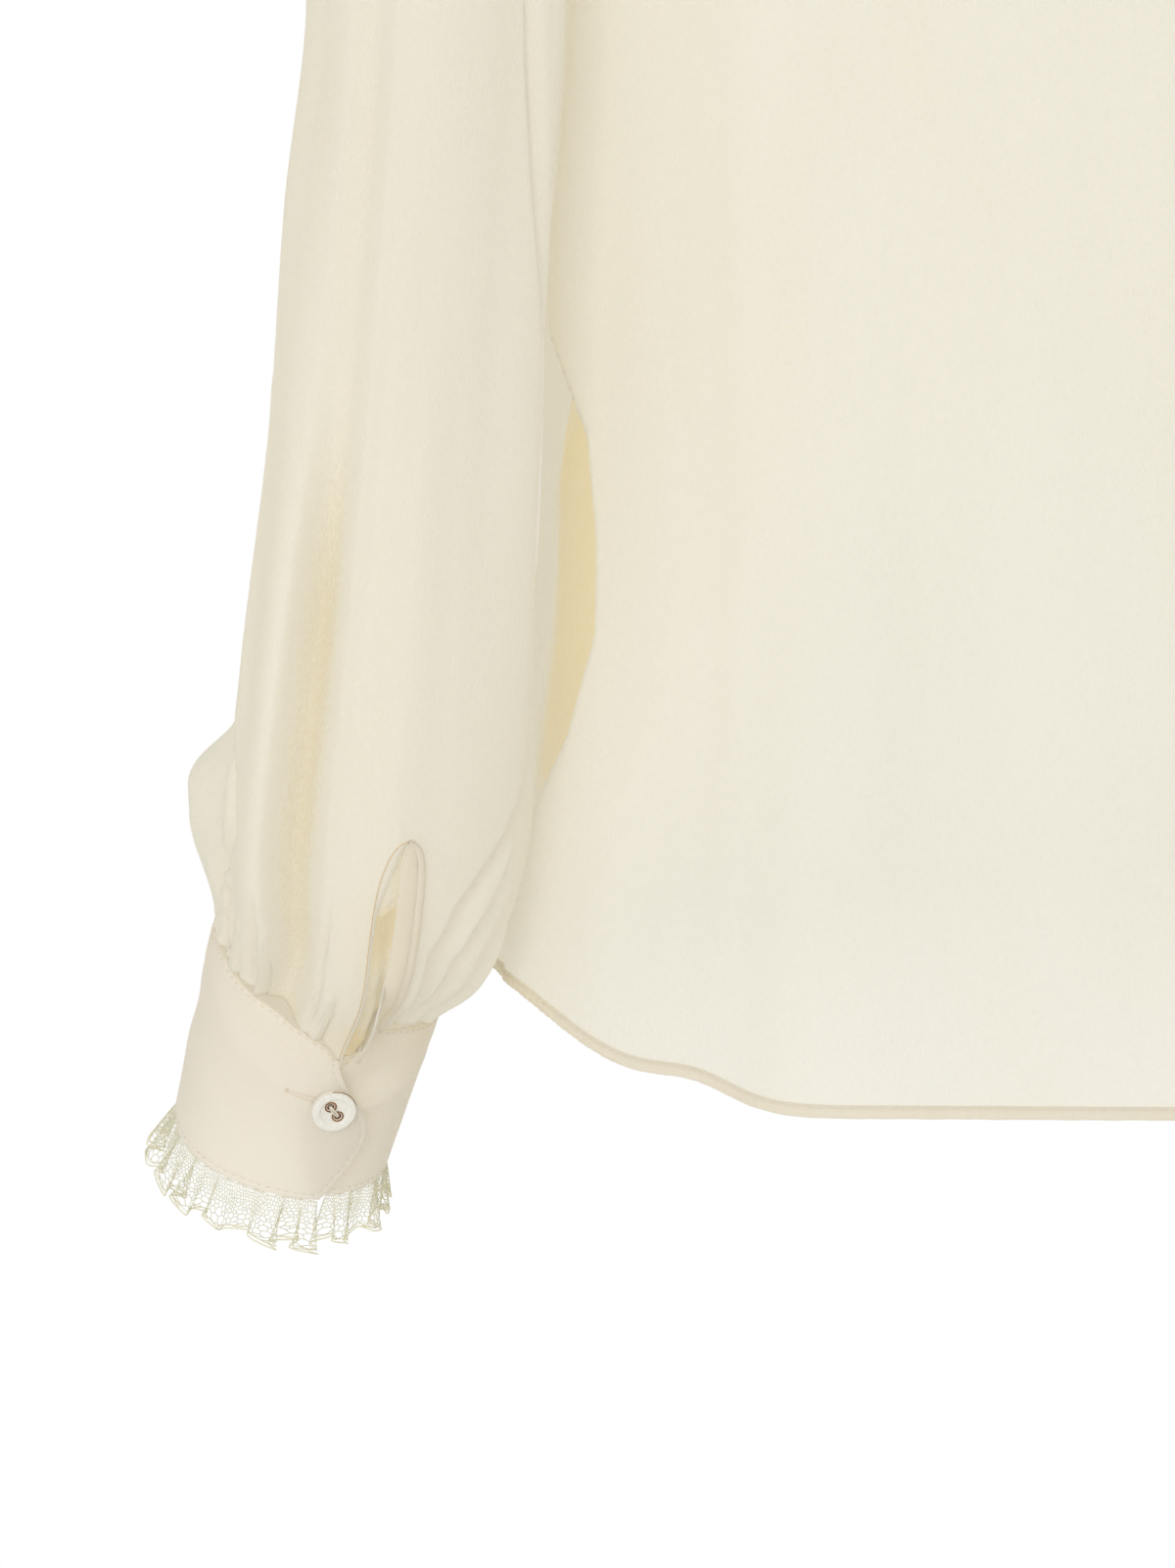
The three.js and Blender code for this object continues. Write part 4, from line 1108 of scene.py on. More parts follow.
@dataclass
class NeckBinding:
    """The narrow folded band that finishes the neck."""

    width: float = 9.0
    overlap: float = 1.0
    wall: float = 1.2
    lines_between: int = 8

    def build(self, materials: Materials) -> None:
        """Builds the band and its stitches in place of the solid."""
        half = BODY.neck_lines
        line = np.linspace(-half, half, 2 * half * self.lines_between + 1)
        edges, belows = [], []
        for panel in Panel:
            top = BODY.points(panel, line, np.zeros_like(line), ())
            below = BODY.points(panel, line, np.full_like(line, 0.04), ())
            if panel is Panel.FRONT:
                top, below = top[-2:0:-1], below[-2:0:-1]
            edges.append(top)
            belows.append(below)
        edge, below = np.concatenate(edges), np.concatenate(belows)
        along = unit(np.roll(edge, -1, axis=0) - np.roll(edge, 1, axis=0))
        away = unit(off_plane(edge - below, along))
        smooth = np.ones(9) / 9.0
        wrapped = np.concatenate([away[-4:], away, away[:4]])
        away = unit(np.stack([np.convolve(wrapped[:, i], smooth, mode="valid") for i in range(3)], axis=1))
        heights = np.linspace(self.width, -self.overlap, 9)
        rows = edge[None] + away[None] * heights[:, None, None]
        out = normals_of(rows, wrap=True)
        puff = 0.35 * np.sin(np.linspace(0.0, np.pi, 9))[:, None, None]
        rows = rows + out * puff
        ring = np.concatenate([edge, edge[:1]])
        uv = paired(lengths_along(ring)[None], heights[:, None])
        band = Cloth()
        band.add_grid(rows, uv, 1, wrap=True)
        made = band.piece("neck_binding", materials["crepe"], "crepe")
        thicken(made, self.wall, 0.0, 0.3)
        stitched = Cloth()
        row = np.concatenate([rows[-3], rows[-3][:1]])
        outer = np.concatenate([out[-3], out[-3][:1]])
        stitched.add_stitches(row, outer, lift=self.wall / 2.0)
        stitches = stitched.piece("neck_stitches", materials["thread"], "crepe")
        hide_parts("neck_band")


# ---- Cuff --------------------------------------------------------------------------------------


@dataclass(frozen=True)
class CuffShape:
    """The buttoned cuff: a band round a slanted axis, pointed at both ends, on the wearer's left."""

    top: Place = (284.2, 4.0, -592.6)
    bottom: Place = (297.6, -21.3, -639.3)
    top_radius: float = 34.0
    bottom_radius: float = 31.3
    lap_stand: float = 2.6
    lap_from: float = 5.0
    lap_full: float = 55.0
    lap_end: float = 100.5
    lap_slant: float = 7.0
    lap_point: float = 21.0
    underlap_end: float = 109.7
    underlap_point: float = -20.0
    point_at: float = 0.53
    point_curve: float = 1.6
    corner_left: float = 0.15
    edge: Table = Table(
        "around sink",
        (-250, -3.0),
        (-235, -2.0),
        (-195, 1.3),
        (-90, -2.0),
        (25, -7.5),
        (65, -3.4),
        (79, 0.0),
        (90, 2.7),
        (100, 7.2),
    )

    @property
    def height(self) -> float:
        """The cuff's height along its axis."""
        return float(np.linalg.norm(np.subtract(self.bottom, self.top)))

    @property
    def down(self) -> Array:
        """The direction of its axis."""
        return unit(np.subtract(self.bottom, self.top))

    @property
    def outward(self) -> Array:
        """The direction of angle 0, away from the body."""
        return unit(off_plane(SIDEWAYS, self.down))

    @property
    def backward(self) -> Array:
        """The direction of angle 90."""
        return unit(np.cross(self.outward, self.down))

    def edge_sink(self, angle: Array) -> Array:
        """How far the upper edge sinks along the cuff at angles, in millimetres."""
        return self.edge.read("sink", angle)

    def stand(self, angle: Array) -> Array:
        """How far the lap stands outside the underlap."""
        return self.lap_stand * smoothstep(angle, self.lap_from, self.lap_full)

    def point(self, angle: Array, down: Array, out: Array | float = 0.0) -> Array:
        """Points at angles round the cuff and shares down it, moved out."""
        angle, down, out = np.broadcast_arrays(angle, down, out)
        radius = lerp(self.top_radius, self.bottom_radius, down) + out
        turn = np.radians(angle)
        return (
            np.array(self.top)
            + self.down * (self.height * down)[..., None]
            + self.outward * (radius * np.cos(turn))[..., None]
            + self.backward * (radius * np.sin(turn))[..., None]
        )

    def end_point(self, down: Array) -> Array:
        """How far a pointed end reaches, from 0 at the top to 1 at its point."""
        past = np.clip((down - self.point_at) / (1.0 - self.point_at), 0.0, 1.0)
        after = 1.0 - (1.0 - self.corner_left) * past**self.point_curve
        return np.where(down < self.point_at, smoothstep(down, 0.0, self.point_at), after)

    def band_angle(self, share: Array, down: Array) -> Array:
        """Angles at shares of the band's length, from the lap's end to the underlap's."""
        reach = self.end_point(down)
        lap = self.lap_end + self.lap_slant * down + self.lap_point * reach
        underlap = self.underlap_end + self.underlap_point * reach - 360.0
        return lerp(lap, underlap, share)

    def band_point(self, share: Array, row: Array, out: Array | float = 0.0) -> Array:
        """Points of the band at shares of its length and of its height, moved out."""
        share, row = np.broadcast_arrays(share, row)
        angle = self.band_angle(share, row)
        down = lerp(self.edge_sink(angle) / self.height, 1.0, row)
        return self.point(angle, down, self.stand(angle) + out)


CUFF = CuffShape()


def edge_spaced(length: float, steps: int, edge: float = 3.0, fine: int = 6) -> Array:
    """Shares from 0 to 1 that lie close together within edge of both ends.

    Args:
        length: The whole length, in millimetres.
        steps: How many steps lie between the fine parts.
        edge: The length of each fine part.
        fine: How many steps each fine part has.

    Returns:
        The shares, rising.
    """
    near = np.linspace(0.0, edge / length, fine + 1)
    middle = np.linspace(edge / length, 1.0 - edge / length, steps + 1)[1:-1]
    return np.concatenate([near, middle, 1.0 - near[::-1]])


@dataclass(frozen=True)
class Dent:
    """A slanted swelling of a cuff, or a dent where height is below 0."""

    height: float
    around: float
    down: float
    lean: float
    width: float
    reach: float

    def lift(self, around: Array, down: Array) -> Array:
        """How far it moves the cloth out at lengths around and down the cuff."""
        away = around - self.around
        return self.height * bump(down - self.down - self.lean * away, self.width) * bump(away, self.reach)


CUFF_DENTS = (
    Dent(1.0, 30.0, 16.7, -0.45, 9.0, 34.0),
    Dent(-0.9, 62.0, 22.6, -0.2, 12.0, 40.0),
    Dent(1.3, 186.0, 23.0, 0.5, 5.0, 24.0),
    Dent(-1.6, 193.0, 15.9, 0.3, 8.0, 14.0),
)


@dataclass
class CuffBand:
    """A cuff in double cloth, with edge stitching and soft dents."""

    side: Side
    length: float = 205.0
    steps_around: int = 150
    steps_down: int = 26
    wall: float = 1.35
    stitch_inset: float = 1.9
    allowance: float = 9.0

    def relief(self, share: Array, row: Array) -> Array:
        """How far the band's face stands out: pressed edges, a furrow at the stitches, soft dents."""
        around = share * self.length
        down = row * CUFF.height
        ends = np.minimum(around, self.length - around)
        edges = np.minimum(ends, CUFF.height - down)
        furrow = -0.22 * bump(edges - self.stitch_inset, 0.9)
        rolled = -0.25 * (1.0 - smoothstep(edges, 0.0, 0.9))
        within = 1.0 - smoothstep(down, self.allowance - 1.2, self.allowance + 1.2)
        seam = 0.3 * within * smoothstep(down, 0.0, 1.5)
        dents = sum(dent.lift(around, down) for dent in CUFF_DENTS)
        waves = 0.7 * np.sin(around * 0.11 + 1.0) * bump(down - 24.0, 26.0)
        return furrow + rolled + seam + dents + waves

    def band(self, material: Material) -> Object:
        """The band itself."""
        share = edge_spaced(self.length, self.steps_around)[None]
        row = edge_spaced(CUFF.height, self.steps_down)[:, None]
        points = CUFF.band_point(share, row, self.relief(share, row))
        share, row = np.broadcast_arrays(share, row)
        uv = np.stack([share * self.length, row * CUFF.height], axis=-1)
        # Painted shade: a little darker along the seam allowance inside the top edge, and more towards the
        # underlap's end under the lap.
        within = 1.0 - smoothstep(row * CUFF.height, self.allowance - 0.5, self.allowance + 0.5)
        under = smoothstep(share, 0.8, 0.93)
        cloth = Cloth()
        cloth.add_grid(self.side.place(points), uv, self.side.value, depth=0.1 * within + 0.2 * under)
        made = cloth.piece(self.side.name_of("cuff_band"), material, "cuff_crepe")
        thicken(made, self.wall, -1.0, 0.35)
        return made

    def stitches(self, material: Material) -> Object:
        """Edge stitching round both ends and the lower edge, and the seam that joins the sleeve."""
        cloth = Cloth()
        side_in, row_in = self.stitch_inset / self.length, self.stitch_inset / CUFF.height
        down = np.linspace(0.02, 1.0 - row_in, 60)
        around = np.linspace(side_in, 1.0 - side_in, 400)
        rows = (
            (np.full_like(down, side_in), down),
            (around, np.full_like(around, 1.0 - row_in)),
            (np.full_like(down, 1.0 - side_in), down[::-1]),
            (np.linspace(0.004, 0.996, 400), np.full(400, 0.012)),
        )
        for share, row in rows:
            path = CUFF.band_point(share, row, self.relief(share, row))
            out = unit(CUFF.band_point(share, row, 5.0) - CUFF.band_point(share, row))
            cloth.add_stitches(self.side.place(path), self.side.place(out), length=1.7, gap=0.9)
        return cloth.piece(self.side.name_of("cuff_stitches"), material, "cuff_crepe")

    def build(self, materials: Materials) -> None:
        """Builds the cuff in place of its solid."""
        made = self.band(materials["cuff"])
        stitches = self.stitches(materials["thread"])
        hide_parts(self.side.name_of("cuff"))


# ---- Sleeve ------------------------------------------------------------------------------------


class SleeveShape:
    """The full sleeve on the wearer's left: a cap on the armhole and a curved tube to the cuff."""

    sections = Table(
        "row x y z outward backward",
        (0, 263, 32, -245, 39, 54),
        (1, 251.5, 50, -320, 36, 52),
        (2, 256, 58, -385, 37, 52),
        (3, 260, 59, -450, 38.5, 53),
        (4, 264, 51, -510, 42.5, 53),
        (5, 269, 35, -550, 44, 51),
        (6, 276, 17, -577, 40, 43),
    )
    slit = Table(
        "height lap underlap",
        (0, 100, 119),
        (18, 95.5, 109),
        (36, 92, 103),
        (54, 91, 98.5),
        (72, 95.5, 98.5),
    )
    slit_top = 72.0
    slit_pull = 5
    slit_above = 1.6
    columns = 54
    between = 8
    cuff_gap = 0.5
    cuff_turn = 0.8
    cap_fall = 0.4
    gathers = 18
    gather_height = 0.9
    gather_reach = 62.0
    gather_uneven = 0.9
    fold_level = 0.15
    path_steps = 4000

    def __init__(
        self, folds: Sequence[Fold], pleats: Sequence[Fold | Crease], dents: Sequence[Crease]
    ) -> None:
        """Lays the sleeve's centre line.

        Args:
            folds: The sleeve's folds, across in degrees and along by share of the tube.
            pleats: Creases and gathers, across in degrees and along by height above the cuff.
            dents: The same, but moved straight backwards instead of outwards.
        """
        self.folds = folds
        self.pleats = pleats
        self.dents = dents
        held = self.sections.columns
        ends = np.array(CUFF.top) - CUFF.down * self.cuff_gap
        centres = np.stack([held["x"], held["y"], held["z"]], axis=1)
        self.centres = np.concatenate([centres, ends[None]])
        self.path = self._curve(self.path_steps)
        self.lengths = lengths_along(self.path)
        self.length = float(self.lengths[-1])
        self.tangents = unit(np.gradient(self.path, axis=0))
        lap = (self.slit.read("lap", self.slit_top) + self.slit.read("underlap", self.slit_top)) / 2.0
        self.lap_column = int(float(lap) * self.columns / 360.0)

    def _curve(self, steps: int) -> Array:
        """The smooth curve through the centres, with knots spaced by the root of their distances."""
        points = self.centres
        points = np.concatenate([[2 * points[0] - points[1]], points, [2 * points[-1] - points[-2]]])
        spans = np.sqrt(np.linalg.norm(np.diff(points, axis=0), axis=1))
        pieces = []
        share = np.linspace(0.0, 1.0, steps // (len(self.centres) - 1), endpoint=False)[:, None]
        for i in range(len(self.centres) - 1):
            p0, p1, p2, p3 = points[i : i + 4]
            d0, d1, d2 = spans[i : i + 3]
            start = ((p1 - p0) / d0 - (p2 - p0) / (d0 + d1) + (p2 - p1) / d1) * d1
            end = ((p2 - p1) / d1 - (p3 - p1) / (d1 + d2) + (p3 - p2) / d2) * d1
            pieces.append(through(share, p1, p2, start, end))
        return np.concatenate([*pieces, self.centres[-1:]])

    def _width(self, column: str, share: Array) -> Array:
        """A half width of the tube at shares of its length."""
        values = np.append(self.sections.columns[column], CUFF.top_radius)
        knots = np.linspace(0.0, len(values) - 1, len(self.lengths))
        place = np.interp(share * self.length, self.lengths, knots)
        i = np.clip(place.astype(int), 0, len(values) - 2)
        part = place - i
        before, here = values[np.maximum(i - 1, 0)], values[i]
        after, past = values[i + 1], values[np.minimum(i + 2, len(values) - 1)]
        return through(part, here, after, (after - before) / 2.0, (past - here) / 2.0)

    def _fold(self, angle: Array, share: Array) -> Array:
        """How far folds and gathers move the cloth out."""
        folds = sum(fold.lift(angle, share, turn=360.0) for fold in self.folds)
        height = (1.0 - share) * self.length
        at_cuff = 1.0 - smoothstep(height, 0.0, self.gather_reach)
        turn = np.radians(angle)
        wave = np.cos(self.gathers * turn + self.gather_uneven * np.sin(3.0 * turn)) - 0.5
        pleats = sum(pleat.lift(angle, height, turn=360.0) for pleat in self.pleats)
        return folds * lerp(1.0, self.fold_level, at_cuff**2) + self.gather_height * at_cuff * wave + pleats

    def slit_middle(self, height: Array) -> Array:
        """The angle midway across the slit."""
        return (self.slit.read("lap", height) + self.slit.read("underlap", height)) / 2.0

    def tube(self, angle: Array, share: Array, out: Array | float = 0.0) -> Array:
        """Points of the tube at angles and shares of its length, moved off the cloth by out."""
        angle, share, out = np.broadcast_arrays(angle, share, out)
        at_cuff = smoothstep(share, self.cuff_turn, 1.0)
        along = share * self.length
        centre = walk(self.path, self.lengths, along)
        ahead = walk(self.tangents, self.lengths, along)
        down = unit(lerp(ahead, CUFF.down, at_cuff[..., None]))
        outward = unit(off_plane(SIDEWAYS, down))
        backward = unit(np.cross(outward, down))
        on_lap = (angle > 0.0) & (angle < self.slit_middle((1.0 - share) * self.length))
        more = self._fold(angle, share) + out + np.where(on_lap, CUFF.stand(angle) * at_cuff, 0.0)
        sink = CUFF.edge_sink(np.where(on_lap | (angle <= 0.0), angle, angle - 360.0)) * at_cuff
        height = (1.0 - share) * self.length
        dent = sum(crease.lift(angle, height, turn=360.0) for crease in self.dents)
        turn = np.radians(angle)
        return (
            centre
            + CUFF.down * sink[..., None]
            + outward * ((self._width("outward", share) + more) * np.cos(turn))[..., None]
            + backward * ((self._width("backward", share) + more) * np.sin(turn) + dent)[..., None]
        )

    def at(self, angle: Array, height: Array, out: Array | float = 0.0) -> Array:
        """Points of the tube at angles and heights above the cuff."""
        return self.tube(angle, 1.0 - np.asarray(height) / self.length, out)

    def cap(self, angle: Array, down: Array) -> Array:
        """Points between the armhole (down 0) and the top of the tube (down 1)."""
        angle, down = np.broadcast_arrays(angle, down)
        back = BODY.armhole(np.minimum(angle, 180.0), Panel.BACK)
        front = BODY.armhole(np.minimum(360.0 - angle, 180.0), Panel.FRONT)
        start = np.where((angle <= 180.0)[..., None], back, front)
        end = self.tube(angle, np.zeros_like(angle))
        reach = np.linalg.norm(end - start, axis=-1, keepdims=True)
        leave = unit(np.array((1.0, 0.0, -self.cap_fall)))
        return through(down[..., None], start, end, leave * reach, self.tangents[0] * reach)

    def column_angle(self, column: Array, height: Array) -> Array:
        """The angle of a column of the grid at a height. Columns crowd towards the slit."""
        column, height = np.broadcast_arrays(np.asarray(column, float), np.asarray(height, float))
        step = 360.0 / self.columns

        def beside(edge: str, past: Array) -> Array:
            """Angles of columns counted from one edge of the slit."""
            start = self.lap_column + (edge == "underlap")
            near = bump(past, self.slit_pull)
            near = near * (1.0 - smoothstep(height, self.slit_top, self.slit_above * self.slit_top))
            return lerp((start + past) * step, self.slit.read(edge, height) + past * step, near)

        across = np.clip(column - self.lap_column, 0.0, 1.0)
        lap = beside("lap", np.minimum(column - self.lap_column, 0.0))
        underlap = beside("underlap", np.maximum(column - self.lap_column - 1, 0.0))
        return np.where(across <= 0.0, lap, np.where(across >= 1.0, underlap, lerp(lap, underlap, across)))


# Folds of a sleeve: across in degrees from the outer side over the back, along by share of the tube.
SLEEVE_FOLDS = (
    Fold(30, 44, 10, 3.0, 0.3, 1.02),
    Fold(96, 92, 9, 2.5, 0.4, 1.0),
    Fold(152, 146, 13, 5.0, -0.1, 0.86),
    Fold(170, 166, 12, -5.0, -0.05, 0.95),
    Fold(16, 12, 9, 3.0, 0.0, 0.96),
    Fold(-2, 0, 9, -5.0, 0.05, 0.96),
    Fold(205, 200, 16, -5.0, 0.3, 1.0),
    Fold(232, 228, 13, -8.0, 0.2, 1.04),
    Fold(262, 262, 16, 6.0, 0.3, 1.04),
    Fold(292, 298, 13, -9.0, 0.25, 1.04),
)
# Gathers at the cuff: across in degrees, along by height above the cuff.
CUFF_PLEATS = (
    # The fold along the outer edge, and the front layer that ends before the bulge behind it.
    Crease(((60, 5), (84, 6), (123, 11), (177, 14.5), (230, 11), (289, 10), (350, 12)), 3.0, 5.0, -2.2, 0.2),
    Crease(((-8, -21), (30, -23), (84, -26)), 33.0, 33.0, 14.0, 0.46),
    Crease(
        ((-8, -3), (4, 0), (22, 9), (40, 19), (56, 25), (73, 19), (85, 12.5), (99, 5)),
        11.0, 2.0, -6.5, 0.25,
    ),
    # The layers that lie over each other towards the body.
    Crease(((60, 150), (105, 154), (155, 158), (206, 147), (269, 134), (330, 128)), 3.0, 7.0, -2.6, 0.2),
    Crease(
        ((-12, 124), (6, 122), (41, 116), (55, 123), (63, 132), (71, 143), (84, 158), (110, 170)),
        2.4, 15.0, -5.0,
    ),
    Crease(((-12, 136), (17, 132), (37, 130), (47, 135), (58, 144), (75, 158)), 2.4, 12.0, -4.5),
    # Puckers at the seam, each a short deep crease between two rolls.
    Crease(((-8, 34), (2, 31), (12, 21), (30, 17)), 2.6, 1.6, -2.8),
    Crease(((-8, 30), (10, 27), (26, 24)), 2.0, 2.6, 1.5),
    Crease(((-8, 43), (3, 41), (16, 37), (28, 35)), 2.2, 1.6, -2.4),
    Crease(((-8, 53), (2, 51), (22, 45), (48, 41)), 2.8, 1.8, -3.0),
    Crease(((-8, 57), (10, 54), (34, 50)), 1.8, 3.0, 1.8),
    Crease(((-8, 62), (4, 60), (20, 54)), 2.0, 1.6, -2.4),
    Crease(((-8, 84), (5, 82), (30, 75), (60, 73)), 2.8, 1.7, -3.2),
    Crease(((-8, 87), (6, 85), (26, 79)), 1.5, 2.0, 1.6),
    Crease(((-8, 91), (5, 89), (29, 82)), 2.0, 1.5, -2.0),
    Crease(((-8, 122), (3, 121), (18, 114)), 1.4, 1.4, -1.8),
    Crease(((-8, 128), (3, 127), (24, 121)), 1.8, 1.4, -2.4),
    Crease(((-8, 144), (3, 143), (26, 143)), 2.0, 1.6, -2.4),
    Fold(22, 20, 2.4, -2.0, -8, 44, 1.6),
    Fold(12, 13, 2.4, 1.6, -8, 28, 1.4),
    Fold(152, 156, 2.8, 1.8, -8, 50, 1.4),
    Fold(163, 170, 2.6, -2.2, -10, 60, 1.6),
    Fold(176, 178, 2.6, 1.6, -8, 34, 1.4),
    Fold(190, 188, 2.4, -2.0, -8, 48, 1.6),
    Fold(206, 208, 2.6, 1.7, -8, 36, 1.4),
    Fold(220, 218, 2.4, -2.2, -8, 58, 1.6),
    Fold(236, 240, 2.6, 1.6, -8, 30, 1.4),
    Fold(250, 250, 2.4, -2.0, -8, 40, 1.6),
    Fold(266, 262, 2.6, 1.7, -8, 46, 1.4),
    Fold(281, 284, 2.4, -2.2, -8, 34, 1.6),
    Fold(297, 296, 2.6, 1.6, -8, 52, 1.4),
    Fold(312, 314, 2.4, -2.0, -8, 40, 1.6),
    Fold(327, 326, 2.4, 1.5, -8, 30, 1.4),
    Fold(341, 343, 2.4, -1.9, -8, 46, 1.6),
)
# The main trough, shallow above and deep below, with the roll beside it and the ridge on its lit side.
SLEEVE_DENTS = (
    Crease(
        (
            (-40, 72), (0, 70), (17, 68), (38, 64), (54, 61), (69, 60), (92, 60), (115, 61), (140, 62),
            (190, 64),
        ),
        19.0, 11.0, -15.0,
    ),
    Crease(((90, 58), (128, 60), (165, 63), (189, 64), (239, 65), (290, 61), (350, 58)), 18.0, 11.0, -6.0),
    Crease(((-12, 42), (60, 36), (120, 38), (200, 42)), 18.0, 16.0, 4.0),
    Crease(((30, 78), (55, 76), (84, 77), (118, 78), (141, 79), (190, 82), (240, 85)), 7.0, 14.0, 2.0),
)
SLEEVE = SleeveShape(SLEEVE_FOLDS, CUFF_PLEATS, SLEEVE_DENTS)


@dataclass
class SleeveCloth:
    """A sleeve's sheet, gathered into its cuff and open at the slit."""

    side: Side
    cap_rows: int = 34
    arm_step: float = 2.5
    slit_step: float = 1.3
    # The inward move, in millimetres, at which the trough's painted shade is full.
    full_shade_sink: float = 22.0
    cloth_around: float = 315.0

    def build(self, materials: Materials) -> None:
        """Builds the sleeve in place of its solid."""
        shape = SLEEVE
        column = np.arange(shape.columns * shape.between)[None] / shape.between
        cap = shape.cap(column * 360.0 / shape.columns, np.linspace(0.0, 1.0, self.cap_rows + 1)[:-1, None])
        arm = np.linspace(shape.length, shape.slit_top, int((shape.length - shape.slit_top) / self.arm_step))
        slit = np.linspace(shape.slit_top, 0.0, int(shape.slit_top / self.slit_step))[1:]
        height = np.concatenate([arm, slit])[:, None]
        tucked = np.array([[-0.5], [-2.0]])
        tube = shape.at(shape.column_angle(column, height), height)
        under = shape.at(shape.column_angle(column, 0.0 * tucked), tucked, tucked - 0.4)
        tube = np.concatenate([tube, under])
        grid = np.concatenate([cap, tube])
        first_open = len(cap) + len(arm) - 1

        def is_open(row: Array, place: Array) -> Array:
            """The cells across the slit."""
            return (row >= first_open) & (place // shape.between == shape.lap_column)

        around = np.linspace(0.0, self.cloth_around, grid.shape[1] + 1)
        steps = np.linalg.norm(np.diff(grid, axis=0), axis=2).mean(axis=1)
        down = np.concatenate(([0.0], np.cumsum(steps)))
        uv = paired(around[None], down[:, None])
        cloth = Cloth()
        places = shape.column_angle(column, height)
        heights = np.broadcast_to(height, places.shape)
        # Painted shade along the sleeve's trough, where the dents move the cloth back.
        sunk = sum(crease.lift(places, heights, 360.0) for crease in shape.dents)
        depth = np.zeros(grid.shape[:2])
        depth[len(cap) : -len(tucked)] = painted_shade_of(sunk, 2.0, self.full_shade_sink)
        cloth.add_grid(self.side.place(grid), uv, -self.side.value, wrap=True, is_open=is_open, depth=depth)
        made = cloth.piece(self.side.name_of("sleeve_cloth"), materials["sleeve"], "crepe")
        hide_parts(self.side.name_of("sleeve"))


@dataclass
class SlitBinding:
    """The binding of a sleeve's slit: a rolled arch, a wide stitched facing and the cloth behind it."""

    side: Side
    rows: int = 110
    steps: int = 18
    wall: float = 0.55
    stitch_line: float = 0.69
    top: float = 73.6
    lap_facing: tuple[float, float] = (54.0, 72.0)
    underlap: tuple[float, float] = (-1.5, 58.0)
    lines: Table = Table(
        "height seam roll free outer",
        (0, 99.8, 100.8, 107.0, 118.0),
        (8, 97.3, 98.3, 104.6, 116.2),
        (16, 95.2, 96.2, 102.0, 113.8),
        (26, 93.6, 94.6, 99.8, 111.2),
        (36, 91.7, 92.7, 98.4, 109.2),
        (47, 90.2, 91.1, 97.6, 107.6),
        (56, 90.0, 91.2, 97.3, 106.9),
        (62, 90.5, 92.8, 97.0, 106.5),
        (67, 92.0, 95.0, 96.9, 105.7),
        (70.5, 94.0, 96.6, 97.4, 104.2),
        (72.6, 96.4, 98.0, 98.3, 101.9),
        (73.6, 99.0, 99.1, 99.2, 99.4),
    )

    def heights(self) -> Array:
        """Heights along the binding, closer together towards its arch."""
        share = np.linspace(0.0, 1.0, self.rows + 1)
        return self.top * np.sin(share * np.pi / 2.0) ** 0.9

    def limb(self, first: str, last: str, profile: Callable[[Array], Array]) -> tuple[Array, Array]:
        """One side of the binding.

        Args:
            first: The line along its inner edge.
            last: The line along its outer edge.
            profile: Its height over the cloth by share of its width.

        Returns:
            Its points, from the cuff to the tip, and its cloth coordinates.
        """
        height = self.heights()[:, None]
        across = np.linspace(0.0, 1.0, self.steps + 1)[None]
        angle = lerp(self.lines.curve(first, height), self.lines.curve(last, height), across)
        points = SLEEVE.at(angle, np.broadcast_to(height, angle.shape), profile(across))
        return points, paired(across * 7.0, height)

    def facing_profile(self, across: Array) -> Array:
        """The facing: a turned inner edge, a furrow where it is stitched, and a roll at the seam."""
        turned = 0.2 * (1.0 - smoothstep(across, 0.0, 0.1))
        furrow = -0.3 * bump(across - self.stitch_line, 0.09)
        roll = 0.4 * arch((across - 0.87) / 0.11)
        sunk = -0.8 * smoothstep(across, 0.955, 1.0)
        return 0.6 + turned + furrow + roll + sunk

    def lap_profile(self, across: Array) -> Array:
        """The narrow roll on the lap's edge."""
        roll = 0.6 * arch((across - 0.5) / 0.5)
        return 0.25 + roll - 0.5 * smoothstep(across, 0.85, 1.0)

    def add_strip(
        self, cloth: Cloth, height: Array, edges: tuple[float, float], sunk: Array, width: float, depth: Array
    ) -> None:
        """Adds a strip of cloth that lies sunk behind the slit.

        Args:
            cloth: Where it is added.
            height: Heights of its points.
            edges: How far its edges lie past the slit's seam and the facing's free edge, in degrees.
            sunk: How far its points lie behind the sleeve's face.
            width: Its width as cloth.
            depth: How much painted shade it gets, from 0 to 1.
        """
        across = np.linspace(0.0, 1.0, height.shape[1])[None]
        start = self.lines.curve("seam", height) + edges[0]
        end = self.lines.curve("free", height) + edges[1]
        points = SLEEVE.at(lerp(start, end, across), height, -sunk)
        cloth.add_grid(self.side.place(points), paired(across * width, height), self.side.value, depth=depth)

    def behind(self) -> Cloth:
        """The lap's own facing behind the slit's upper part, and the underlap's cloth behind the rest, both
        with painted shade.
        """
        cloth = Cloth()
        points, uv = self.limb("roll", "seam", self.lap_profile)
        cloth.add_grid(self.side.place(points), uv, self.side.value)
        up = np.linspace(0.0, 1.0, 50)[:, None]
        across = np.linspace(0.0, 1.0, 14)[None]
        foot, tip = self.lap_facing
        height = lerp(foot, tip, up) + 1.5 * across * (1.0 - up)
        # Painted shade, golden cream, strongest at the strip's foot.
        depth = 0.3 * (1.0 - smoothstep(height, foot, foot + 6.0)) + 0.32
        self.add_strip(cloth, height, (0.2, 2.0), 0.9 + 0.8 * across, 4.0, depth)
        foot, tip = self.underlap
        height = lerp(foot, tip, up) * np.ones_like(across)
        sunk = 2.2 + 2.2 * (1.0 - across) + 2.6 * smoothstep(height, 32.0, 46.0)
        # Painted shade, darkest golden at the top and the foot of the strip.
        depth = 0.5 + 0.5 * smoothstep(height, 34.0, 45.0) + 0.5 * (1.0 - smoothstep(height, 8.0, 18.0))
        self.add_strip(cloth, height, (-5.0, 7.0), sunk, 12.0, depth)
        return cloth

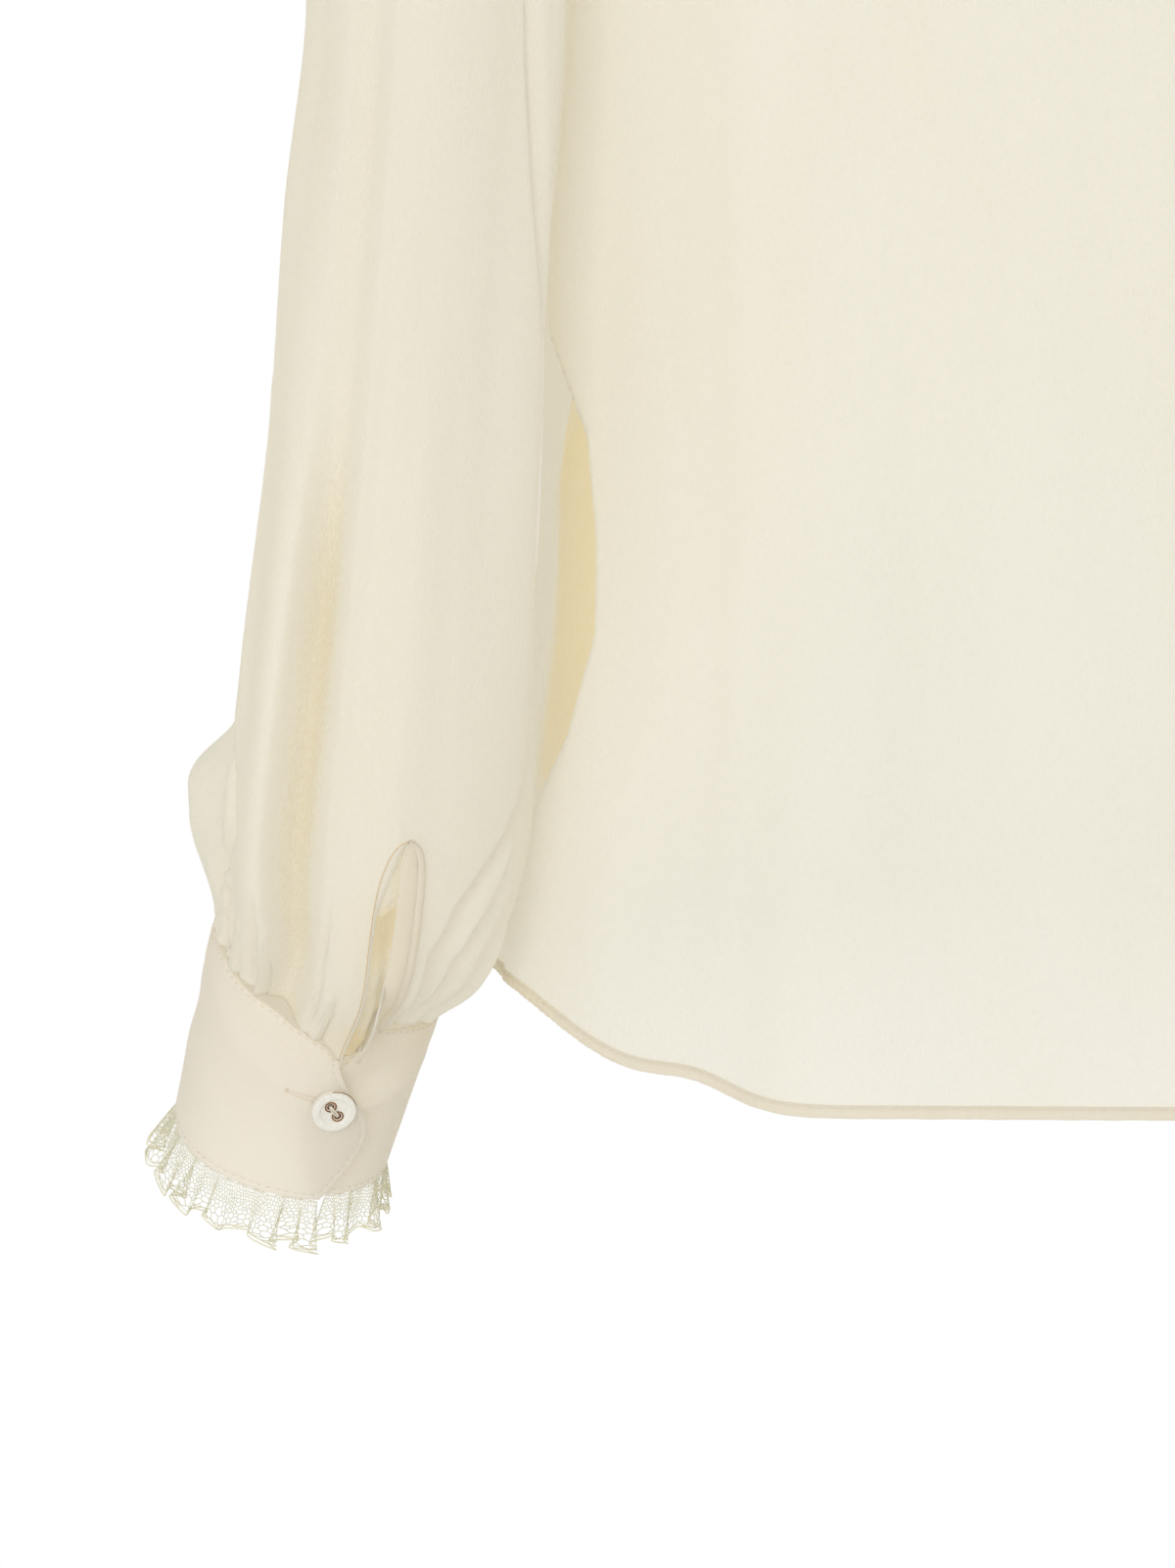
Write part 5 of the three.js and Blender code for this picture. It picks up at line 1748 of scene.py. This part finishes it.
    def stitches(self, material: Material) -> Object:
        """The stitches along the facing, and a painted shadow line along the arch's seam, swept as a thin
        brown thread.
        """
        cloth = Cloth()
        height = np.linspace(1.0, 70.0, 160)
        inner, outer = (self.lines.curve(name, height) for name in ("free", "outer"))
        angle = lerp(inner, outer, self.stitch_line)
        path = SLEEVE.at(angle, height, 0.45)
        out = unit(SLEEVE.at(angle, height, 3.0) - path)
        cloth.add_stitches(self.side.place(path), self.side.place(out), length=0.55, gap=0.6)
        # A painted shadow line round the arch, where the binding meets the sleeve.
        height = self.heights()
        back = height[-2::-1]
        angles = (self.lines.curve("outer", height) + 0.15, self.lines.curve("seam", back) - 0.15)
        angle, height = np.concatenate(angles), np.concatenate([height, back])
        path = SLEEVE.at(angle, height, 0.12)
        out = unit(SLEEVE.at(angle, height, 3.0) - path)
        ahead = unit(np.gradient(path, axis=0))
        path, out, ahead = (self.side.place(part) for part in (path, out, ahead))
        cloth.add_sweep(path, unit(np.cross(ahead, out)), out, circle(0.11, 5))
        return cloth.piece(self.side.name_of("slit_stitches_and_shadow_line"), material, "crepe")

    def build(self, materials: Materials) -> None:
        """Builds the binding in place of its solid."""
        cloth = Cloth()
        points, uv = self.limb("free", "outer", self.facing_profile)
        cloth.add_grid(self.side.place(points), uv, -self.side.value)
        made = cloth.piece(self.side.name_of("slit_facing"), materials["facing"], "crepe")
        thicken(made, self.wall, -1.0)
        behind = self.behind().piece(self.side.name_of("slit_underlay"), materials["crepe"], "crepe")
        stitches = self.stitches(materials["seam"])
        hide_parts(self.side.name_of("slit_binding"))


# ---- Lace and button ---------------------------------------------------------------------------


@dataclass
class LaceRuffle:
    """A gathered lace edging: a fine ground, a net of real threads, and a corded scalloped edge."""

    side: Side
    seam_gap: float = 0.3
    depth: float = 13.5
    waves: float = 18.0
    swing: float = 2.6
    root_swing: float = 0.15
    overhang: float = 2.1
    flare: float = 4.0
    scallop: float = 1.3
    scallops_per_wave: float = 1.0
    root: float = 0.6
    end_gap: float = 5.0
    uneven: float = 0.12
    uneven_turns: float = 6.0
    flat_length: float = 320.0
    cell: tuple[float, float] = (1.15, 2.3)
    thread: tuple[float, float] = (0.11, 0.145)
    cord: float = 0.23
    steps: int = 1001

    def point(self, share: Array, out: Array) -> Array:
        """Points of the ruffle at shares of its length and of its depth."""
        share, out = np.broadcast_arrays(share, out)
        once = 2.0 * np.pi * share
        wave = self.waves * once + 2.0 * np.pi * self.uneven * np.sin(self.uneven_turns * once)
        start = CUFF.band_angle(0.0, 1.0)
        lean = -self.overhang * out * np.sin(2.0 * wave) * (0.75 + 0.5 * np.sin(5.0 * once + 1.0))
        angle = start - (360.0 - self.end_gap) * share - np.degrees(lean / CUFF.bottom_radius)
        scallop = self.scallop * np.cos(self.scallops_per_wave * wave)
        drop = self.seam_gap + out * (self.depth + scallop + 0.5 * np.sin(3.0 * once + 2.0))
        swing = self.swing * lerp(self.root_swing, 1.0, out**0.8) * np.tanh(1.7 * np.sin(wave))
        swing *= 0.82 + 0.3 * np.sin(7.0 * once)
        lift = CUFF.stand(angle) - self.root + self.flare * out + swing
        return self.side.place(CUFF.point(angle, 1.0 + drop / CUFF.height, lift))

    def ground(self, material: Material) -> Object:
        """The fine ground of the lace, one layer of cloth."""
        share = np.linspace(0.0, 1.0, self.steps)[None]
        out = np.linspace(0.0, 0.97, 13)[:, None]
        uv = paired(share * self.flat_length, out * self.depth)
        cloth = Cloth()
        cloth.add_grid(self.point(share, out), uv, self.side.value)
        return cloth.piece(self.side.name_of("cuff_lace_ground"), material, "lace")

    def seeds(self, rng: np.random.Generator) -> Array:
        """Middles of the net's meshes on the flat strip, small at the root and larger near the edge."""
        rows = []
        down = 0.0
        while down < self.depth:
            size = float(lerp(self.cell[0], self.cell[1], smoothstep(down / self.depth, 0.35, 1.0)))
            count = int(self.flat_length / size)
            along = (np.arange(count) + 0.5 * (len(rows) % 2)) * self.flat_length / count
            places = np.stack([along, np.full(count, down)], axis=1)
            rows.append(places + rng.uniform(-0.33, 0.33, places.shape) * size)
            down += size * 0.86
        return np.concatenate(rows)

    def net(self, material: Material, rng: np.random.Generator) -> Object:
        """The threads round every mesh of the net."""
        seeds = self.seeds(rng)
        found = delaunay_2d_cdt([Vector(seed) for seed in seeds], [], [], 0, 1e-5)
        corners = np.array([tuple(place) for place in found[0]])
        triangles = np.array([face for face in found[2] if len(face) == 3])
        middles = corners[triangles].mean(axis=1)
        sides = np.sort(triangles[:, [[0, 1], [1, 2], [2, 0]]].reshape(-1, 2), axis=1)
        owner = np.repeat(np.arange(len(triangles)), 3)
        order = np.lexsort((sides[:, 1], sides[:, 0]))
        sides, owner = sides[order], owner[order]
        shared = np.nonzero((sides[1:] == sides[:-1]).all(axis=1))[0]
        first, second = middles[owner[shared]], middles[owner[shared + 1]]
        kept = np.linalg.norm(first - second, axis=1) < 3.0
        first, second = first[kept], second[kept]
        size = (self.flat_length, self.depth)
        places = [np.clip(part / size, (-np.inf, 0.0), (np.inf, 1.0)) for part in (first, second)]
        ends = [self.point(part[:, 0], part[:, 1]) for part in places]
        out = np.clip((first[:, 1] + second[:, 1]) / 2.0 / self.depth, 0.0, 1.0)
        radius = lerp(self.thread[0], self.thread[1], out)[:, None]
        cloth = Cloth()
        ahead = unit(ends[1] - ends[0])
        beside = unit(np.cross(ahead, UP + 0.3 * SIDEWAYS))
        above = np.cross(ahead, beside)
        rings = [end + radius * (x * beside + y * above) for end in ends for x, y in circle(1.0, 3)]
        points = np.stack(rings, axis=1).reshape(-1, 3)
        one = np.array([(0, 1, 4, 3), (1, 2, 5, 4), (2, 0, 3, 5)])
        faces = (one[None] + 6 * np.arange(len(radius))[:, None, None]).reshape(-1, 4)
        cloth.add(points, faces)
        return cloth.piece(self.side.name_of("cuff_lace_net"), material, "lace")

    def edge(self, material: Material) -> Object:
        """The cord along the scallops, with a thinner one above it."""
        cloth = Cloth()
        share = np.linspace(0.0, 1.0, self.steps)
        for out, radius in ((1.0, self.cord), (0.93, 0.6 * self.cord)):
            path = self.point(share, np.full_like(share, out))
            ahead = unit(np.gradient(path, axis=0))
            above = unit(off_plane(np.broadcast_to(UP, ahead.shape), ahead))
            cloth.add_sweep(path, np.cross(ahead, above), above, circle(radius, 5))
        return cloth.piece(self.side.name_of("cuff_lace_edge"), material, "lace")

    def build(self, materials: Materials) -> None:
        """Builds the lace in place of its solid."""
        rng = np.random.default_rng(7 if self.side is Side.LEFT else 8)
        ground = self.ground(materials["ground"])
        net = self.net(materials["lace"], rng)
        edge = self.edge(materials["lace"])
        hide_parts(self.side.name_of("cuff_lace"))


@dataclass
class CuffButton:
    """A two-hole button sewn on the lap, and the worked buttonhole that it closes."""

    side: Side
    around: float = 103.4
    down: float = 0.415
    shank: float = 0.5
    radius: float = 6.25
    thickness: float = 2.2
    rim: float = 0.6
    dish_radius: float = 4.4
    dish_depth: float = 0.5
    hole_radius: float = 1.0
    hole_spacing: float = 3.9
    ring_radius: float = 1.5
    edge_radius: float = 0.3
    buttonhole: tuple[tuple[float, float], tuple[float, float]] = ((-6.5, -1.9), (-22.5, -3.0))

    def place(self) -> Matrix:
        """The button's place: its holes lie along the first axis and it faces along the third."""
        stand = float(CUFF.stand(self.around)) + self.shank
        seat = CUFF.point(self.around, self.down, stand)
        facing = unit(seat - CUFF.point(self.around, self.down, -CUFF.bottom_radius))
        slant = unit(off_plane(CUFF.down - CUFF.outward, facing))
        seat, facing, slant = (self.side.place(part) for part in (seat, facing, slant))
        across = np.cross(facing, slant)
        columns = np.stack([slant, across, facing, seat * MM], axis=1)
        return Matrix([*columns.tolist(), (0.0, 0.0, 0.0, 1.0)])

    def disc(self, materials: Materials) -> Object:
        """The button: a dished disc with two drilled holes."""
        bpy.ops.object.select_all(action="DESELECT")
        bpy.ops.mesh.primitive_cylinder_add(
            vertices=72,
            radius=self.radius * MM,
            depth=self.thickness * MM,
            location=(0.0, 0.0, self.thickness / 2.0 * MM),
        )
        made = bpy.context.active_object
        made.name = self.side.name_of("cuff_button_disc")
        bpy.ops.object.transform_apply(location=True, rotation=True, scale=True)
        bpy.ops.object.mode_set(mode="EDIT")
        shaped = bmesh.from_edit_mesh(made.data)
        for face in shaped.faces:
            face.select_set(face.normal.z > 0.9)
        bmesh.update_edit_mesh(made.data)
        bpy.ops.mesh.inset(thickness=(self.radius - self.dish_radius) * MM)
        bpy.ops.mesh.inset(thickness=self.rim * MM)
        bpy.ops.transform.translate(value=(0.0, 0.0, -self.dish_depth * MM))
        bpy.ops.object.mode_set(mode="OBJECT")
        for end in (-0.5, 0.5):
            self.drill(made, end * self.hole_spacing)
        select_only(made)
        round_edges(made, self.edge_radius, 3, 35.0)
        bpy.ops.object.shade_smooth_by_angle(angle=math.radians(40.0))
        made.data.materials.append(materials["button"])
        made.data.materials.append(materials["hole"])
        for face in made.data.polygons:
            middle = face.center / MM
            in_hole = min(math.dist(middle[:2], (x * self.hole_spacing, 0.0)) for x in (-0.5, 0.5))
            face.material_index = int(in_hole < self.hole_radius + 0.05 and middle.z > 0.0)
        return made

    def rings(self, material: Material) -> Object:
        """The fine dark lines round both holes, and a painted shadow line along part of the rim."""
        cloth = Cloth()
        high = self.thickness - self.dish_depth + 0.03
        whole = np.linspace(0.0, 2.0 * np.pi, 41)
        part = np.linspace(-0.35 * np.pi, 0.85 * np.pi, 41)
        place = np.array(self.place())
        spin, seat = place[:3, :3].T, place[:3, 3] / MM
        for x, radius, angles, z, thick in (
            (-self.hole_spacing / 2.0, self.ring_radius, whole, high, 0.24),
            (self.hole_spacing / 2.0, self.ring_radius, whole, high, 0.24),
            # A painted shadow line along part of the rim, where the button meets the cloth.
            (0.0, self.radius + 0.02, part, self.thickness * 0.62, 0.16),
        ):
            way = np.stack([np.cos(angles), np.sin(angles), np.zeros_like(angles)], axis=1)
            path = way * radius + (x, 0.0, z)
            above = np.broadcast_to(UP, path.shape)
            cloth.add_sweep(path @ spin + seat, way @ spin, above @ spin, circle(thick, 6))
        return cloth.piece(self.side.name_of("cuff_button_rings_and_rim_shadow"), material, "button")

    def drill(self, made: Object, x: float) -> None:
        """Cuts one hole through the button."""
        bpy.ops.object.select_all(action="DESELECT")
        bpy.ops.mesh.primitive_cylinder_add(
            vertices=28, radius=self.hole_radius * MM, depth=6.0 * MM, location=(x * MM, 0.0, 0.0)
        )
        drill = bpy.context.active_object
        select_only(made)
        cut = made.modifiers.new("hole", "BOOLEAN")
        cut.operation = "DIFFERENCE"
        cut.solver = "EXACT"
        cut.object = drill
        bpy.ops.object.modifier_apply(modifier=cut.name)
        bpy.data.objects.remove(drill, do_unlink=True)

    def threads(self, material: Material) -> Object:
        """Strands that run from hole to hole and down through the button."""
        cloth = Cloth()
        half = self.hole_spacing / 2.0
        high = self.thickness - self.dish_depth
        place = np.array(self.place())
        spin, seat = place[:3, :3].T, place[:3, 3] / MM
        for beside, rise in ((-0.4, 0.5), (0.32, 0.6)):
            share = np.linspace(-1.0, 1.0, 41)
            x = half * np.sign(share) * np.minimum(np.abs(share) * 1.25, 1.0) + 0.1 * beside
            z = high + rise * np.sqrt(np.clip(1.0 - (np.abs(share) / 0.8) ** 3, 0.0, 1.0))
            z = np.where(np.abs(share) > 0.8, high * (1.0 - (np.abs(share) - 0.8) / 0.2), z)
            y = beside * (1.0 - 0.5 * np.abs(share)) + 0.06 * np.sin(3.0 * share)
            path = np.stack([x, y, z], axis=1)
            ahead = unit(np.gradient(path, axis=0))
            across = np.broadcast_to((0.0, 1.0, 0.0), ahead.shape)
            above = unit(np.cross(ahead, across))
            cloth.add_sweep(path @ spin + seat, unit(across @ spin), above @ spin, circle(0.27, 6))
        return cloth.piece(self.side.name_of("cuff_button_thread"), material, "button")

    def buttonhole_stitches(self, material: Material) -> Object:
        """The worked buttonhole: close stitches along both sides of a cut, and a bar at its end."""
        cloth = Cloth()
        along = np.linspace(0.0, 1.0, 40)
        start, end = self.buttonhole
        angle = self.around + lerp(start[0], end[0], along)
        down = self.down + lerp(start[1], end[1], along) / CUFF.height
        around = np.linspace(0.0, 0.4, 200)
        share = np.interp(-angle, -CUFF.band_angle(around, self.down), around)
        high = CUFF.stand(angle) + CuffBand(self.side).relief(share, down) + 0.12
        path = CUFF.point(angle, down, high)
        out = unit(CUFF.point(angle, down, 5.0) - CUFF.point(angle, down))
        ahead = unit(np.gradient(path, axis=0))
        beside = unit(np.cross(ahead, out))
        for row in (-1.0, 1.0):
            for i in range(1, len(path), 3):
                wide = lerp(1.2, 0.5, along[i])
                ends = path[i] + beside[i] * row * wide * np.array([[0.25], [0.65], [1.05]])
                ends = ends + ahead[i] * 0.25 * row * np.array([[0.0], [0.5], [1.0]])
                outs = np.broadcast_to(out[i], ends.shape)
                cloth.add_stitches(
                    self.side.place(ends), self.side.place(outs), length=0.8 * wide, gap=0.0, radius=0.15
                )
        for at in (-0.25, 0.05, 0.35):
            ends = np.stack([path[-1] + ahead[-1] * at + beside[-1] * half for half in (-0.9, 0.0, 0.9)])
            outs = np.broadcast_to(out[-1], ends.shape)
            cloth.add_stitches(self.side.place(ends), self.side.place(outs), length=1.7, gap=0.0, radius=0.14)
        return cloth.piece(self.side.name_of("buttonhole"), material, "cuff_crepe")

    def build(self, materials: Materials) -> None:
        """Builds the button in place of its solid, with its thread and its hole."""
        made = self.disc(materials)
        made.data.transform(self.place())
        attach(made, "root")
        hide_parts(self.side.name_of("cuff_button"))
        self.rings(materials["hole"])
        self.threads(materials["thread"])
        self.buttonhole_stitches(materials["worked"])
        log.info("%s: %d faces", made.name, len(made.data.polygons))


# ---- Studio ------------------------------------------------------------------------------------


@dataclass
class Studio:
    """White surroundings, soft lights, a pale floor and the camera."""

    camera_x: float = 210.0
    camera_y: float = 3200.0
    camera_z: float = -539.0
    view_height: float = 445.0
    sensor: float = 36.0
    floor_z: float = -1.4
    floor_radius: float = 8.5

    def camera(self) -> None:
        """The camera, level, looking at the back of the blouse."""
        held = bpy.data.cameras.new("camera")
        held.sensor_width = self.sensor
        held.lens = self.sensor * self.camera_y / self.view_height
        held.clip_start, held.clip_end = 0.05, 60.0
        placed = bpy.data.objects.new("camera", held)
        placed.location = (self.camera_x * MM, self.camera_y * MM, self.camera_z * MM)
        placed.rotation_euler = (math.pi / 2.0, 0.0, math.pi)
        bpy.context.scene.collection.objects.link(placed)
        bpy.context.scene.camera = placed

    def world(self, strength: float, colour: Colour) -> None:
        """Even light from all round, seen by the camera as plain white."""
        world = bpy.data.worlds.new("studio")
        nodes = emptied(world)
        light = nodes.add("ShaderNodeBackground")
        nodes.feed(light, Color=(*colour, 1.0), Strength=strength)
        white = nodes.add("ShaderNodeBackground")
        nodes.feed(white, Color=(1.0, 1.0, 1.0, 1.0), Strength=1.0)
        seen = nodes.add("ShaderNodeLightPath")
        mix = nodes.mixed(seen.outputs["Is Camera Ray"], light.outputs[0], white.outputs[0])
        nodes.end(mix, "ShaderNodeOutputWorld")
        bpy.context.scene.world = world

    def lamp(self, name: str, place: Place, size: float, power: float, colour: Colour) -> None:
        """A square soft light that points at the blouse.

        Args:
            name: The light's name.
            place: Where it stands, in metres.
            size: The side of the square, in metres.
            power: Its power, in watts.
            colour: Its colour.
        """
        held = bpy.data.lights.new(name, "AREA")
        held.size, held.energy, held.color = size, power, colour
        placed = bpy.data.objects.new(name, held)
        placed.location = place
        way = Vector((0.0, 0.0, -0.35)) - Vector(place)
        placed.rotation_euler = way.to_track_quat("-Z", "Y").to_euler()
        placed.visible_camera = False
        bpy.context.scene.collection.objects.link(placed)

    def floor(self) -> None:
        """The pale floor, well below the blouse."""
        bpy.ops.object.select_all(action="DESELECT")
        bpy.ops.mesh.primitive_circle_add(
            vertices=96, radius=self.floor_radius, fill_type="NGON", location=(0.0, 0.0, self.floor_z)
        )
        made = bpy.context.active_object
        made.name = "studio_floor"
        bpy.ops.object.transform_apply(location=True, rotation=True, scale=True)
        paint = bpy.data.materials.new("pale_floor")
        paint.use_nodes = True
        face = paint.node_tree.nodes["Principled BSDF"]
        Nodes(paint.node_tree).feed(face, Base_Color=(0.93, 0.93, 0.925, 1.0), Roughness=0.9)
        made.data.materials.append(paint)

    def build(self) -> None:
        """Sets up the whole studio."""
        self.camera()
        self.world(0.62, (0.99, 1.0, 1.0))
        self.lamp("key", (0.8, 3.0, -0.1), 1.1, 24.5, (1.0, 0.995, 0.98))
        self.lamp("side", (2.2, 2.2, -1.2), 1.8, 14.0, (1.0, 0.995, 0.98))
        self.lamp("front", (0.6, -2.8, 0.2), 2.0, 24.0, (1.0, 1.0, 1.0))
        self.floor()
        bpy.context.scene.view_settings.view_transform = "Standard"


def main() -> None:
    """Builds the blouse piece by piece, then its surroundings."""
    logging.basicConfig(level=logging.INFO, format="%(name)s: %(message)s")
    finishes = {
        "crepe": CREPE,
        "body": BODY_CREPE,
        "sleeve": SLEEVE_CREPE,
        "cuff": CUFF_CREPE,
        "hem": HEM_CREPE,
        "facing": FACING,
        "lace": LACE,
        "ground": GROUND,
        "button": BUTTON,
        "hole": HOLE_RIM_AND_SHADOW,
        "thread": THREAD,
        "seam": SEAM_THREAD_AND_SHADOW,
        "worked": WORKED,
    }
    materials = {name: finish.material() for name, finish in finishes.items()}
    BodyPanel(Panel.BACK, folds=BACK_FOLDS, creases=BACK_CREASES).build(materials)
    BodyPanel(
        Panel.FRONT, lines_between=6, rows=190, crowding=0.2, folds=FRONT_FOLDS, creases=FRONT_CREASES
    ).build(materials)
    NeckBinding().build(materials)
    for side in Side:
        SleeveCloth(side).build(materials)
        SlitBinding(side).build(materials)
        CuffBand(side).build(materials)
        CuffButton(side).build(materials)
        LaceRuffle(side).build(materials)
    Studio().build()


if __name__ == "__main__":
    main()
